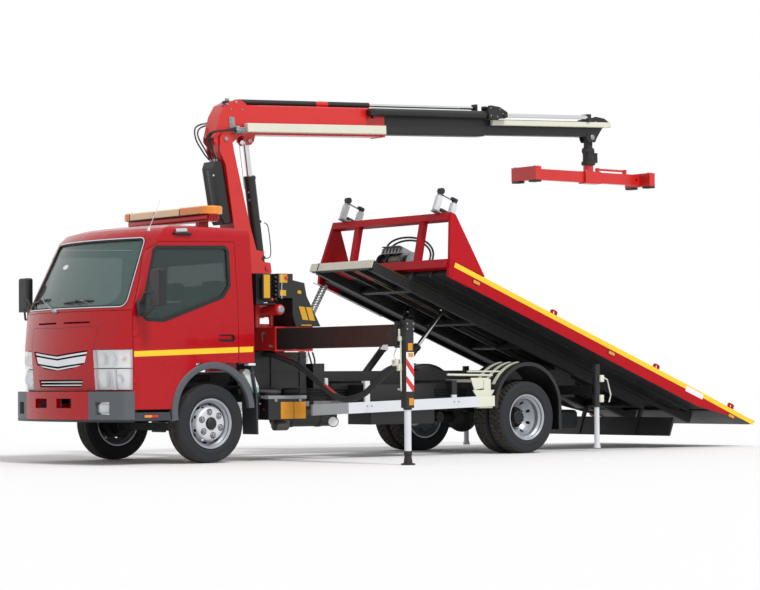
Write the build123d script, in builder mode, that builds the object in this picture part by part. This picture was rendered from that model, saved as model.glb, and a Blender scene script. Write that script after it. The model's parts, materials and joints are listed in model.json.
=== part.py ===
from build123d import *
from math import cos, radians, sin
import os

os.makedirs("parts", exist_ok=True)

# Millimetres. +X is forward, +Y is the vehicle's left, +Z is up and the ground is Z = 0.
# Lengthwise places are given from the front axle by ahead().

# ---- driving dimensions ----
front_axle_x = 3015  # the front axle's place ahead of the middle of the whole length
wheelbase = 3880
tyre_radius = 376
tyre_half_width = 102.5
front_track_half = 828  # wheel centre plane from the middle
kingpin_half = 690
rear_outer_half = 962
rear_inner_half = 722

cab_half_width = 980
cab_wall = 45
cab_rear = -470
shut_gap = 4

rail_outer = 410  # chassis rail's outer face
rail_width = 70
rail_web = 8
rail_low = 570
rail_high = 770
subframe_high = 870
chassis_tail = -5150

bed_tilt = 21  # degrees of the bed in the stored pose
pivot_x, pivot_z = -4950, 900
bed_front, bed_tail = 2324, -2351  # along the bed, from the tilt pivot
bed_half_width = 1120

slew_x = -1020
boom_pivot = (-740, 3190)
boom_rise = 2.4  # degrees
lift_foot = (-1232, 1910)
lift_eye = (-1060, 3195)
tilt_base, tilt_pin = (-2590, 640), 12  # foot of the tilt cylinders

beam_z = 1185  # outrigger beam's centre height
leg_y = 2760
rear_leg_x, rear_leg_y = -4850, 1080


def ahead(x):
    """X in the part's frame of a point x ahead of the front axle."""
    return front_axle_x + x


bed_plane = Plane(
    origin=(ahead(pivot_x), 0, pivot_z),
    x_dir=(cos(radians(bed_tilt)), 0, sin(radians(bed_tilt))),
    z_dir=(-sin(radians(bed_tilt)), 0, cos(radians(bed_tilt))),
)
boom_plane = Plane(
    origin=(ahead(boom_pivot[0]), 0, boom_pivot[1]),
    x_dir=(-cos(radians(boom_rise)), 0, sin(radians(boom_rise))),
    z_dir=(sin(radians(boom_rise)), 0, cos(radians(boom_rise))),
)


def across(plane, y):
    """Plane whose local x and y are the given plane's x and z, at y to its side, facing its -y."""
    return Plane(plane.from_local_coords((0, y, 0)), x_dir=plane.x_dir, z_dir=-plane.y_dir)


axle_side = Plane(origin=(front_axle_x, 0, 0), x_dir=(1, 0, 0), z_dir=(0, -1, 0))


def bar(low, high, mode=Mode.ADD):
    """Box between two corners, in the part being built."""
    size = [high[i] - low[i] for i in range(3)]
    with Locations(tuple((low[i] + high[i]) / 2 for i in range(3))):
        Box(*size, mode=mode)


def side_span(hand, near, far):
    """Low and high y of a stretch from near to far from the middle, on one side."""
    return sorted((hand * near, hand * far))


def wheel_plane(x, y, hand):
    """Plane through a wheel's axis: local x is the radius, local y points outboard."""
    return Plane(origin=(ahead(x), hand * y, tyre_radius), x_dir=(0, 0, 1), z_dir=(-hand, 0, 0))


def spin_axis(x, hand):
    return Axis((ahead(x), 0, tyre_radius), (0, hand, 0))


# ---- wheels ----
# radius, place outboard of the wheel's centre plane
tyre_half = [(227, 80), (243, 82), (262, 99), (310, 102.5), (352, 97), (371, 84), (376, 68)]
rim_outline = [
    (238, -93), (238, -85), (226, -82), (226, -60), (205, -42), (205, 42), (226, 60), (226, 82),
    (238, 85), (238, 93), (228, 93), (217, 82), (217, 62), (197, 44), (197, -44), (217, -62),
    (217, -82), (228, -93),
]
front_disc = [(201, 10), (160, 58), (118, 84), (48, 84), (48, 74), (114, 74), (152, 50), (199, -2)]
outer_disc = [
    (201, -20), (165, -75), (120, -108), (90, -114), (90, -103), (118, -98), (158, -62), (199, -8),
]


def tyre(x, y, hand):
    """Tyre as one closed ring."""
    outline = tyre_half + [(r, -side) for r, side in reversed(tyre_half)]
    with BuildPart() as ring:
        with BuildSketch(wheel_plane(x, y, hand)):
            Polygon(*outline, align=None)
        revolve(axis=spin_axis(x, hand))
    return ring.part


def rim(x, y, hand, disc):
    """Rim barrel and its disc, with hand holes."""
    hole_radius = 158
    with BuildPart() as made:
        with BuildSketch(wheel_plane(x, y, hand)):
            Polygon(*rim_outline, align=None)
            Polygon(*disc, align=None)
        revolve(axis=spin_axis(x, hand))
        face = Plane(origin=(ahead(x), hand * y, tyre_radius), x_dir=(1, 0, 0), z_dir=(0, hand, 0))
        with BuildSketch(face):
            with PolarLocations(hole_radius, 8, start_angle=22.5):
                Circle(17)
        extrude(amount=120, both=True, mode=Mode.SUBTRACT)
    return made.part


for side, hand in (("left", 1), ("right", -1)):
    front_tyre = tyre(0, front_track_half, hand)
    front_tyre.label = f"front_{side}_tyre"
    export_step(front_tyre, f"parts/front_{side}_tyre.step")

    front_rim = rim(0, front_track_half, hand, front_disc)
    front_rim.label = f"front_{side}_rim"
    export_step(front_rim, f"parts/front_{side}_rim.step")

    twin_tyres = [tyre(-wheelbase, y, hand) for y in (rear_outer_half, rear_inner_half)]
    with BuildPart() as rear_tyres:
        add(twin_tyres)
    rear_tyres.part.label = f"rear_{side}_tyres"
    export_step(rear_tyres.part, f"parts/rear_{side}_tyres.step")

    inner_disc = [(r, -place) for r, place in outer_disc]
    twin_rims = [
        rim(-wheelbase, rear_outer_half, hand, outer_disc),
        rim(-wheelbase, rear_inner_half, hand, inner_disc),
    ]
    with BuildPart() as rear_rims:
        add(twin_rims)
        hub = Plane(
            origin=(ahead(-wheelbase), hand * (rear_inner_half + 90), tyre_radius),
            z_dir=(0, hand, 0),
        )
        with BuildSketch(hub):
            Circle(105)
        extrude(amount=50)
        with BuildSketch(hub):
            Circle(62)
        extrude(amount=120)
    rear_rims.part.label = f"rear_{side}_rims"
    export_step(rear_rims.part, f"parts/rear_{side}_rims.step")

# ---- leaf springs ----
spring_y, leaf_width, leaf_thick = 375, 60, 11


def leaf_pack(x, seat_z, half_lengths, bow):
    """Leaves bowed upward over a seat, the longest on top."""
    with BuildPart() as made:
        for hand in (1, -1):
            low_y, high_y = side_span(hand, spring_y - leaf_width / 2, spring_y + leaf_width / 2)
            for n, half_length in enumerate(half_lengths):
                outer = bow + n * leaf_thick
                with BuildSketch(axle_side.offset(-low_y)):
                    with Locations((x, seat_z + bow + (len(half_lengths) - 1) * leaf_thick)):
                        Circle(outer + leaf_thick)
                        Circle(outer, mode=Mode.SUBTRACT)
                    with Locations((x, seat_z + 60)):
                        Rectangle(2 * half_length, 400, mode=Mode.INTERSECT)
                extrude(amount=-(high_y - low_y))
    return made.part


# ---- front axle and knuckles ----
eye_radius, pin_radius, pin_clearance = 42, 22, 0.5
front_springs = leaf_pack(0, 388, (575, 430, 280), 1800)
rear_springs = leaf_pack(-wheelbase, 428, (640, 520, 400, 270), 2300)
with BuildPart() as front_axle:
    bar((ahead(-40), -kingpin_half + 30, 300), (ahead(40), kingpin_half - 30, 375))
    for hand in (1, -1):
        with BuildSketch(Plane.XY.offset(300)):
            with Locations((front_axle_x, hand * kingpin_half)):
                Circle(eye_radius)
        extrude(amount=130)
        low_y, high_y = side_span(hand, spring_y - 45, spring_y + 45)
        bar((ahead(-50), low_y, 375), (ahead(50), high_y, 392))  # spring seat
        bar((ahead(-40), low_y, 380), (ahead(40), high_y, 440))  # clamp round the leaves
        for x in (-560, 560):  # shackles under the rails
            low_y, high_y = side_span(hand, spring_y - 30, spring_y + 30)
            bar((ahead(x - 22), low_y, 470), (ahead(x + 22), high_y, rail_low - 0.5))
    add(front_springs)
    with BuildSketch(Plane.XY.offset(290)):
        with Locations((front_axle_x, kingpin_half), (front_axle_x, -kingpin_half)):
            Circle(pin_radius + pin_clearance)
    extrude(amount=160, mode=Mode.SUBTRACT)
front_axle.part.label = "front_axle"
export_step(front_axle.part, "parts/front_axle.step")

for side, hand in (("left", 1), ("right", -1)):
    with BuildPart() as knuckle:
        with BuildSketch(Plane.XY.offset(262)):
            with Locations((front_axle_x, hand * kingpin_half)):
                Circle(pin_radius)
        extrude(amount=206)
        for ear_z in (262, 436):
            with BuildSketch(Plane.XY.offset(ear_z)):
                with Locations((front_axle_x, hand * (kingpin_half + 25))):
                    Rectangle(70, 100)
            extrude(amount=32)
        with Locations((front_axle_x, hand * (kingpin_half + 62), tyre_radius - 11)):
            Box(70, 26, 206)
        stub = Plane(
            origin=(front_axle_x, hand * (kingpin_half + 60), tyre_radius), z_dir=(0, hand, 0)
        )
        with BuildSketch(stub):
            Circle(150)
        extrude(amount=70)
        with BuildSketch(stub):
            Circle(46)
        extrude(amount=150)
    knuckle.part.label = f"{side}_knuckle"
    export_step(knuckle.part, f"parts/{side}_knuckle.step")

# ---- rear axle ----
with BuildPart() as rear_axle:
    with BuildSketch(Plane(origin=(ahead(-wheelbase), 0, tyre_radius), z_dir=(0, 1, 0))):
        Circle(55)
    extrude(amount=rear_inner_half - 110, both=True)
    with Locations((ahead(-wheelbase), 0, tyre_radius)):
        Sphere(165)
    with BuildSketch(Plane(origin=(ahead(-wheelbase), 0, tyre_radius), z_dir=(1, 0, 0))):
        Circle(60)
    extrude(amount=300)
    for hand in (1, -1):
        low_y, high_y = side_span(hand, spring_y - 42, spring_y + 42)
        bar((ahead(-wheelbase - 60), low_y, 405), (ahead(-wheelbase + 60), high_y, 492))
        for x in (-625, 625):
            low_y, high_y = side_span(hand, spring_y - 30, spring_y + 30)
            x -= wheelbase
            bar((ahead(x - 22), low_y, 525), (ahead(x + 22), high_y, rail_low - 0.5))
    add(rear_springs)
rear_axle.part.label = "rear_axle"
export_step(rear_axle.part, "parts/rear_axle.step")

# ---- chassis ----
cross_x = (780, -1400, -2515, -3180, -4550, -5120)
with BuildPart() as chassis_frame:
    for hand in (1, -1):
        inner, outer = sorted((hand * (rail_outer - rail_width), hand * rail_outer))
        bar((ahead(chassis_tail), inner, rail_low), (ahead(940), outer, rail_high))
        hollow = side_span(hand, rail_outer - rail_width - 1, rail_outer - rail_web)
        for low_x, high_x in ((-5151, -4990), (-4850, -3000), (-2800, -700), (-500, 941)):
            low, high = rail_low + rail_web, rail_high - rail_web
            bar((ahead(low_x), hollow[0], low), (ahead(high_x), hollow[1], high), Mode.SUBTRACT)
        bar((ahead(-5100), inner, rail_high), (ahead(-620), outer, subframe_high))
    for x in cross_x:
        bar((ahead(x - 30), 5 - rail_outer, rail_low + 20), (ahead(x + 30), rail_outer - 5, rail_high - 20))
    for y in (-280, 280):  # a pair of plates at each tilt cylinder's foot
        for place in (y - 46, y + 46):
            bar((ahead(-2640), place - 6, tilt_base[1] - 45), (ahead(-2540), place + 6, tilt_base[1] + 45))
    with BuildSketch(Plane(origin=(ahead(tilt_base[0]), 0, tilt_base[1]), z_dir=(0, 1, 0))):
        Circle(tilt_pin + 0.5)
    extrude(amount=335, both=True, mode=Mode.SUBTRACT)
    # tilt pivot brackets, each with the pin's hole
    for hand in (1, -1):
        inner, outer = sorted((hand * 375, hand * 405))
        bar((ahead(pivot_x - 60), inner, subframe_high), (ahead(pivot_x + 60), outer, pivot_z + 60))
    with BuildSketch(Plane(origin=(ahead(pivot_x), 0, pivot_z), z_dir=(0, 1, 0))):
        Circle(25.5)
    extrude(amount=450, both=True, mode=Mode.SUBTRACT)
    for hand in (1, -1):
        low_y, high_y = side_span(hand, rail_outer - 5, rear_leg_y - 34)
        bar((ahead(rear_leg_x - 38), low_y, 600), (ahead(rear_leg_x + 38), high_y, 700))
    for hand in (1, -1):
        with BuildSketch(Plane.XY.offset(470)):
            with Locations((ahead(rear_leg_x), hand * rear_leg_y)):
                Circle(38)
                Circle(31, mode=Mode.SUBTRACT)
        extrude(amount=450)
        with BuildSketch(Plane.XY.offset(905)):
            with Locations((ahead(rear_leg_x), hand * rear_leg_y)):
                Circle(38)
        extrude(amount=20)
chassis_frame.part.label = "chassis_frame"
print("chassis solids", len(chassis_frame.part.solids()))
export_step(chassis_frame.part, "parts/chassis_frame.step")

with BuildPart() as engine_block:
    bar((ahead(-420), -300, 480), (ahead(430), 300, 840))
engine_block.part.label = "engine_block"
export_step(engine_block.part, "parts/engine_block.step")

# ---- cab ----
# side, front and plan outlines; the front is bowed about an upright axis at bow_x
bow_x = -1450
side_limit = [
    (1300, 520), (1300, 2225), (430, 2262), (cab_rear, 2240), (cab_rear, 950), (200, 950), (200, 520),
]
nose_line = [(1110, 520), (1146, 1060), (1085, 1455), (765, 2150), (690, 2222), (400, 2300)]
front_half = [(965, 500), (cab_half_width, 1100), (970, 1420), (900, 2262)]
plan_half = [(cab_rear, cab_half_width), (720, cab_half_width), (905, 962), (1010, 830), (1300, 380)]
arch_z, arch_radius = 490, 470
roof_radius, corner_radius = 120, 90
tunnel_half, tunnel_top, tunnel_front = 640, 890, 945


def mirrored(half):
    """Outline closed by the reflection of its right half, given as (y, z)."""
    return [*half, *[(-y, z) for y, z in reversed(half)]]


def mirrored_plan(half):
    """Outline closed by the reflection of its left half, given as (x, y)."""
    return [*half, *[(x, -y) for x, y in reversed(half)]]


def cab_form(inset):
    """The cab's closed form, drawn in by inset on every side."""
    with BuildPart() as form:
        with BuildSketch(axle_side):
            Polygon(*side_limit, align=None)
            if inset:
                offset(amount=-inset, kind=Kind.INTERSECTION)
        extrude(amount=cab_half_width + 10, both=True)
        with BuildSketch(Plane.YZ):
            Polygon(*mirrored(front_half), align=None)
            fillet(vertices().group_by(Axis.Y)[-1], roof_radius)
            if inset:
                offset(amount=-inset, kind=Kind.INTERSECTION)
        extrude(amount=9000, both=True, mode=Mode.INTERSECT)
        with BuildSketch(Plane.XY):
            with Locations((front_axle_x, 0)):
                Polygon(*mirrored_plan(plan_half), align=None)
            fillet(vertices().group_by(Axis.X)[-2], corner_radius)
            if inset:
                offset(amount=-inset, kind=Kind.INTERSECTION)
        extrude(amount=3000, mode=Mode.INTERSECT)
        # tunnel over the engine and rails, and the wheel housings
        tunnel = tunnel_half + inset
        roof = tunnel_top + inset
        bar((ahead(-600), -tunnel, 300), (ahead(tunnel_front + inset), tunnel, roof), Mode.SUBTRACT)
        with BuildSketch(axle_side):
            with Locations((0, arch_z)):
                Circle(arch_radius + inset)
        extrude(amount=cab_half_width + 50, both=True, mode=Mode.SUBTRACT)
    with BuildPart() as bow:
        with BuildSketch(axle_side):
            Polygon((bow_x, 500), *nose_line, (bow_x, 2300), align=None)
            if inset:
                offset(amount=-inset, kind=Kind.INTERSECTION)
            with Locations((bow_x - 200, 1400)):
                Rectangle(400, 3000, mode=Mode.SUBTRACT)
        revolve(axis=Axis((ahead(bow_x), 0, 0), (0, 0, 1)))
    return form.part & bow.part


def prism(outline, low_y, high_y, grow=0, rounding=0):
    """Side outline, from the front axle, carried from low_y to high_y."""
    with BuildPart() as made:
        with BuildSketch(axle_side.offset(-low_y)):
            Polygon(*outline, align=None)
            if rounding:
                fillet(vertices(), rounding)
            if grow:
                offset(amount=grow, kind=Kind.INTERSECTION)
        extrude(amount=-(high_y - low_y))
    return made.part


def front_prism(outline, low_x=600, grow=0, rounding=0):
    """Front outline, as (y, z), carried forward from low_x."""
    with BuildPart() as made:
        with BuildSketch(Plane.YZ.offset(ahead(low_x))):
            Polygon(*outline, align=None)
            if rounding:
                fillet(vertices(), rounding)
            if grow:
                offset(amount=grow, kind=Kind.INTERSECTION)
        extrude(amount=1400 - low_x)
    return made.part


cab_outer = cab_form(0)
cab_inner = cab_form(cab_wall)
door_outline = [
    (890, 500), (890, 1455), (780, 1730), (682, 2000), (575, 2090), (-285, 2110),
    (-285, 900), (200, 900), (200, 500),
]
window_outline = [
    (612, 2025), (-190, 2045), (-190, 1690), (-110, 1590), (560, 1362), (775, 1372), (755, 1530),
]
windscreen_outline = [(864, 1490), (768, 2118), (-768, 2118), (-864, 1490)]
rear_window_outline = [(550, 1460), (550, 1940), (-550, 1940), (-550, 1460)]
nose_x, nose_top, nose_low = 897, 1443, 697
lamp_inner, lamp_low, lamp_high = 565, 703, 1078
pillar_x, pillar_y = 870, 960  # door hinge axis
hinge_heights = (760, 1200)
hinge_height, pin_reach, pin_radius = 60, 16, 6


def rear_window(grow=0):
    with BuildPart() as made:
        with BuildSketch(Plane.YZ.offset(ahead(cab_rear - 100))):
            Polygon(*rear_window_outline, align=None)
            fillet(vertices(), 60)
            if grow:
                offset(amount=grow, kind=Kind.INTERSECTION)
        extrude(amount=200)
    return made.part


def nose_box(low_z, grow=0):
    """What the front panel takes from the cab's wall."""
    with BuildPart() as made:
        bar((ahead(nose_x - grow), -1100, low_z), (ahead(1300), 1100, nose_top + grow))
    return made.part


def leaf_form(hand, grow=0):
    """What a door takes from the wall: its outline, less what lies over the sill and floor."""
    outline = prism(door_outline, *side_span(hand, 832 - grow, 1100), grow)
    with BuildPart() as floor_zone:
        bar((ahead(-700), -925 + 3 * grow, 300), (ahead(1100), 925 - 3 * grow, 1020 - grow))
    return outline - floor_zone.part


def lamp_box(hand, grow=0):
    low_y, high_y = side_span(hand, lamp_inner - grow, 1100)
    with BuildPart() as made:
        bar((ahead(nose_x), low_y, lamp_low - grow), (ahead(1300), high_y, lamp_high + grow))
    return made.part


# upright hinge pins: the pin and its arm stand on the bulkhead, in a pocket of the door
def hinge_pocket(hand):
    with BuildPart() as made:
        for low in hinge_heights:
            with BuildSketch(Plane.XY.offset(low)):
                with Locations((ahead(868), hand * 928.5)):
                    Rectangle(66, 77)
            extrude(amount=hinge_height)
            with BuildSketch(Plane.XY.offset(low - pin_reach)):
                with Locations((ahead(pillar_x), hand * pillar_y)):
                    Circle(pin_radius + 0.3)
            extrude(amount=hinge_height + 2 * pin_reach)
    return made.part


def hinge_arms(hand):
    with BuildPart() as made:
        for low in hinge_heights:
            with BuildSketch(Plane.XY.offset(low + 5)):
                with Locations((ahead(0), 0)):
                    arm = [(865, 961), (875, 957), (855, 866), (835, 866)]
                    Polygon(*[(x, hand * y) for x, y in arm], align=None)
            extrude(amount=hinge_height - 10)
            with BuildSketch(Plane.XY.offset(low - pin_reach + 2)):
                with Locations((ahead(pillar_x), hand * pillar_y)):
                    Circle(pin_radius)
            extrude(amount=hinge_height + 2 * pin_reach - 4)
    return made.part


windscreen_hole = front_prism(windscreen_outline, 450, rounding=45)
shell_cuts = [
    cab_inner,
    nose_box(400, shut_gap),
    leaf_form(1, shut_gap),
    leaf_form(-1, shut_gap),
    windscreen_hole,
    rear_window(),
]
hinges = [hinge_arms(1), hinge_arms(-1)]
with BuildPart() as cab_shell:
    add(cab_outer)
    add(shell_cuts, mode=Mode.SUBTRACT)
    bar((ahead(835), -872, 885), (ahead(865), 872, 1385))  # bulkhead
    bar((ahead(835), -825, 1380), (ahead(865), 825, 1478))
    bar((ahead(835), -880, 685), (ahead(865), -645, 900))
    bar((ahead(835), 645, 685), (ahead(865), 880, 900))
    with BuildSketch(Plane.XY.offset(1449)):  # scuttle under the windscreen
        with Locations((front_axle_x, 0)):
            scuttle = [(835, 826), (905, 826), (990, 600), (1030, 0)]
            Polygon(*scuttle, *[(x, -y) for x, y in scuttle[2::-1]], align=None)
    extrude(amount=29)
    add(hinges)
cab_shell.part.label = "cab_shell"
export_step(cab_shell.part, "parts/cab_shell.step")
print("cab shell solids", len(cab_shell.part.solids()))

wall_part = cab_outer - cab_inner
for side, hand in (("left", 1), ("right", -1)):
    leaf = wall_part & leaf_form(hand)
    window_hole = prism(window_outline, *side_span(hand, 500, 1100), rounding=40)
    pocket = hinge_pocket(hand)
    with BuildPart() as handle_recess:
        with BuildSketch(axle_side.offset(-hand * 962)):
            with Locations((-148, 1186)):
                RectangleRounded(190, 72, 34)
        extrude(amount=-hand * 60)
    with BuildPart() as door:
        add(leaf)
        add([window_hole, pocket, handle_recess.part], mode=Mode.SUBTRACT)
        with BuildSketch(axle_side.offset(-hand * 962)):  # pull across the recess
            with Locations((-128, 1192)):
                RectangleRounded(150, 30, 12)
        extrude(amount=-hand * 12)
    door.part.label = f"{side}_door"
    export_step(door.part, f"parts/{side}_door.step")
    print(side, "door solids", len(door.part.solids()))

glass_out, glass_in = cab_form(12), cab_form(18)
pane_skin = glass_out - glass_in
for side, hand in (("left", 1), ("right", -1)):
    pane_form = prism(window_outline, *side_span(hand, 500, 1100), -0.5, 40)
    with BuildPart() as door_glass:
        add(pane_skin & pane_form)
    door_glass.part.label = f"{side}_door_glass"
    export_step(door_glass.part, f"parts/{side}_door_glass.step")
screens = [
    pane_skin & front_prism(windscreen_outline, 450, -0.5, 45),
    pane_skin & rear_window(-0.5),
]
with BuildPart() as cab_glass:
    add(screens)
cab_glass.part.label = "cab_glass"
export_step(cab_glass.part, "parts/cab_glass.step")
print("cab glass solids", len(cab_glass.part.solids()))

# ---- front panel, grille and headlamps ----
grille_mouth = [
    (-495, 1078), (0, 1034), (495, 1078), (440, 952), (250, 905), (0, 888), (-250, 905), (-440, 952),
]
lower_mouth = [(-405, 802), (405, 802), (375, 732), (-375, 732)]
# two long air slots under the windscreen
slot_outlines = [
    [(hand * 70, 1332), (hand * 70, 1348), (hand * 470, 1348), (hand * 470, 1332)] for hand in (1, -1)
]
nose = wall_part & nose_box(nose_low)
nose_cuts = [
    lamp_box(1, 3),
    lamp_box(-1, 3),
    front_prism(grille_mouth),
    front_prism(lower_mouth),
    *[front_prism(outline) for outline in slot_outlines],
]
with BuildPart() as front_panel:
    add(nose)
    add(nose_cuts, mode=Mode.SUBTRACT)
    bar((ahead(800), -690, 600), (ahead(tunnel_front + cab_wall + 5), 690, 1000), Mode.SUBTRACT)
front_panel.part.label = "front_panel"
export_step(front_panel.part, "parts/front_panel.step")
print("front panel solids", len(front_panel.part.solids()))

# each lamp: one long upper lens over two lower ones
lens_gap = 5
lamp_skin = cab_outer - cab_form(70)
lamp_parts = []
for hand in (1, -1):
    upper = lamp_skin & lamp_box(hand)
    split_z, split_y = 905, 790
    with BuildPart() as seams:
        low_y, high_y = side_span(hand, 500, 1100)
        bar((ahead(800), low_y, split_z - lens_gap), (ahead(1300), high_y, split_z))
        low_y, high_y = side_span(hand, split_y - lens_gap, split_y)
        bar((ahead(800), low_y, 600), (ahead(1300), high_y, split_z))
    lamp_parts.append(upper - seams.part)
with BuildPart() as headlamps:
    add(lamp_parts)
headlamps.part.label = "headlamps"
export_step(headlamps.part, "parts/headlamps.step")
print("headlamps solids", len(headlamps.part.solids()))

# chrome bands across the mouths, each a shallow V that follows the bow: how far the band's
# top and bottom lie below the mouth's shoulders, at the ends and in the middle
band_drops = [(12, 32, 56, 77), (48, 113, 92, 153), (126, 138, 170, 186)]
band_skin = cab_form(8) - cab_form(24)
mouths = [front_prism(grille_mouth, 1000), front_prism(lower_mouth, 1000)]
band_parts = []
for end_top, end_low, middle_top, middle_low in band_drops:
    shoulder, end_y = 1078, 500
    band = [
        (-end_y, shoulder - end_top), (0, shoulder - middle_top), (end_y, shoulder - end_top),
        (end_y, shoulder - end_low), (0, shoulder - middle_low), (-end_y, shoulder - end_low),
    ]
    band_parts.append(band_skin & front_prism(band, 1000) & mouths[0])
for z in (745, 775):
    bar_outline = [(-420, z), (-420, z + 11), (420, z + 11), (420, z)]
    band_parts.append(band_skin & front_prism(bar_outline, 1000) & mouths[1])
with BuildPart() as grille:
    add(band_parts)
grille.part.label = "grille"
export_step(grille.part, "parts/grille.step")
print("grille solids", len(grille.part.solids()))

# bumper: bowed in plan, open behind, with two air slots and two lamp pockets
bumper_bow = 2650
bumper_plan = [(900, 1000), (1000, 985), (1045, 900), (1300, 400)]
bumper_wall = 45


def bumper_form(inset, low_z, high_z):
    with BuildPart() as made:
        with BuildSketch(Plane.XY.offset(low_z)):
            with Locations((front_axle_x, 0)):
                Polygon(*mirrored_plan(bumper_plan), align=None)
            fillet(vertices().group_by(Axis.X)[-3], 60)
            if inset:
                offset(amount=-inset, kind=Kind.INTERSECTION)
        extrude(amount=high_z - low_z)
        with BuildSketch(Plane.XY.offset(low_z)):
            with Locations((ahead(bow_x), 0)):
                Circle(bumper_bow - inset)
        extrude(amount=high_z - low_z, mode=Mode.INTERSECT)
    return made.part


bumper_inside = bumper_form(bumper_wall, 400, 720)
with BuildPart() as front_bumper:
    add(bumper_form(0, 405, 690))
    add(bumper_inside, mode=Mode.SUBTRACT)
    bar((ahead(800), -940, 400), (ahead(940), 940, 720), Mode.SUBTRACT)
    for hand in (1, -1):
        low_y, high_y = side_span(hand, 90, 330)
        bar((ahead(900), low_y, 535), (ahead(1300), high_y, 625), Mode.SUBTRACT)
        low_y, high_y = side_span(hand, 655, 825)
        bar((ahead(1005), low_y, 475), (ahead(1300), high_y, 590), Mode.SUBTRACT)
        low_y, high_y = side_span(hand, 345, 405)  # brackets to the rails
        bar((ahead(941), low_y, 600), (ahead(1130), high_y, 660))
front_bumper.part.label = "front_bumper"
export_step(front_bumper.part, "parts/front_bumper.step")
print("bumper solids", len(front_bumper.part.solids()))


# ---- cab interior ----
with BuildPart() as cab_interior:
    for y, width in ((560, 500), (-330, 900)):
        bar((ahead(-180), y - width / 2, 1016), (ahead(330), y + width / 2, 1150))
        bar((ahead(-340), y - width / 2, 1150), (ahead(-190), y + width / 2, 1750))
        bar((ahead(-340), y - width / 2, 1120), (ahead(-170), y + width / 2, 1160))
    bar((ahead(640), -880, 1150), (ahead(835), 880, 1400))
    column = Plane(origin=(ahead(640), 560, 1330), x_dir=(0, 1, 0), z_dir=(-0.72, 0, 0.69))
    with BuildSketch(column):
        Circle(28)
    extrude(amount=200)
    with BuildSketch(column.offset(190)):
        Circle(215)
        Circle(190, mode=Mode.SUBTRACT)
        Rectangle(400, 30)
    extrude(amount=22)
cab_interior.part.label = "cab_interior"
export_step(cab_interior.part, "parts/cab_interior.step")

# ---- mirrors on the doors, light bar on the roof ----
arm_radius = 11
# each arm: from and to, as x, y out from the middle, z
mirror_arms = [
    ((835, 1010, 1510), (835, 1075, 1600)),
    ((835, 1075, 1600), (790, 1215, 1610)),
    ((835, 1020, 1400), (835, 1120, 1405)),
    ((835, 1120, 1405), (790, 1215, 1500)),
]
head_x, head_y, head_z = 775, 1215, 1650
for side, hand in (("left", 1), ("right", -1)):
    with BuildPart() as mirror:
        low_y, high_y = side_span(hand, 981, 1035)
        bar((ahead(800), low_y, 1385), (ahead(868), high_y, 1530))
        fillet(mirror.edges().filter_by(Axis.Z), 10)
        for start, end in mirror_arms:
            foot = Vector(ahead(start[0]), hand * start[1], start[2])
            tip = Vector(ahead(end[0]), hand * end[1], end[2])
            with BuildSketch(Plane(foot, z_dir=(tip - foot).normalized())):
                Circle(arm_radius)
            extrude(amount=(tip - foot).length)
            with Locations(foot, tip):
                Sphere(arm_radius)
        with BuildSketch(Plane.XY.offset(head_z - 170)):
            with Locations((ahead(head_x), hand * head_y)):
                RectangleRounded(78, 188, 30)
        extrude(amount=340)
        fillet(mirror.edges().group_by(Axis.Z)[-1], 22)
        # the glass lies in a shallow recess of the rear face
        low_y, high_y = side_span(hand, head_y - 74, head_y + 74)
        rear = head_x - 39
        bar((ahead(rear - 5), low_y, head_z - 145), (ahead(rear + 8), high_y, head_z + 145), Mode.SUBTRACT)
    mirror.part.label = f"{side}_mirror"
    export_step(mirror.part, f"parts/{side}_mirror.step")
    print(side, "mirror solids", len(mirror.part.solids()))

with BuildPart() as light_bar:
    with BuildSketch(Plane.XY.offset(2388)):
        with Locations((ahead(-180), 0)):
            SlotOverall(1560, 230, rotation=90)
    extrude(amount=78)
    fillet(light_bar.edges().group_by(Axis.Z)[-1], 18)
    bar((ahead(-235), -720, 2318), (ahead(-125), 720, 2330))
    for y in (-716, 716, -300, 300):
        bar((ahead(-235), y - 5, 2325), (ahead(-125), y + 5, 2390))
    for y in (-520, 520):
        bar((ahead(-235), y - 30, 2249), (ahead(-125), y + 30, 2320))
light_bar.part.label = "light_bar"
export_step(light_bar.part, "parts/light_bar.step")

# ---- mudguards, boxes and guards along the chassis ----
flap_outline = [(-455, 940), (-480, 940), (-535, 640), (-545, 262), (-527, 262), (-515, 640)]
with BuildPart() as mudguards:
    for hand in (1, -1):
        low_y, high_y = side_span(hand, 930, 975)
        bar((ahead(490), low_y, 415), (ahead(884), high_y, 492))
        low_y, high_y = side_span(hand, 670, 932)
        bar((ahead(560), low_y, 425), (ahead(820), high_y, 445))
        low_y, high_y = side_span(hand, rail_outer, 672)
        bar((ahead(640), low_y, 425), (ahead(700), high_y, 445))
        low_y, high_y = side_span(hand, rail_outer, rail_outer + 8)
        bar((ahead(640), low_y, 425), (ahead(700), high_y, 660))
        low_y, high_y = side_span(hand, 690, 935)
        with BuildSketch(axle_side.offset(-low_y)):
            Polygon(*flap_outline, align=None)
        extrude(amount=-(high_y - low_y))
        low_y, high_y = side_span(hand, rail_outer + 1, 700)
        bar((ahead(-540), low_y, 700), (ahead(-505), high_y, 730))
mudguards.part.label = "mudguards"
export_step(mudguards.part, "parts/mudguards.step")

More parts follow.
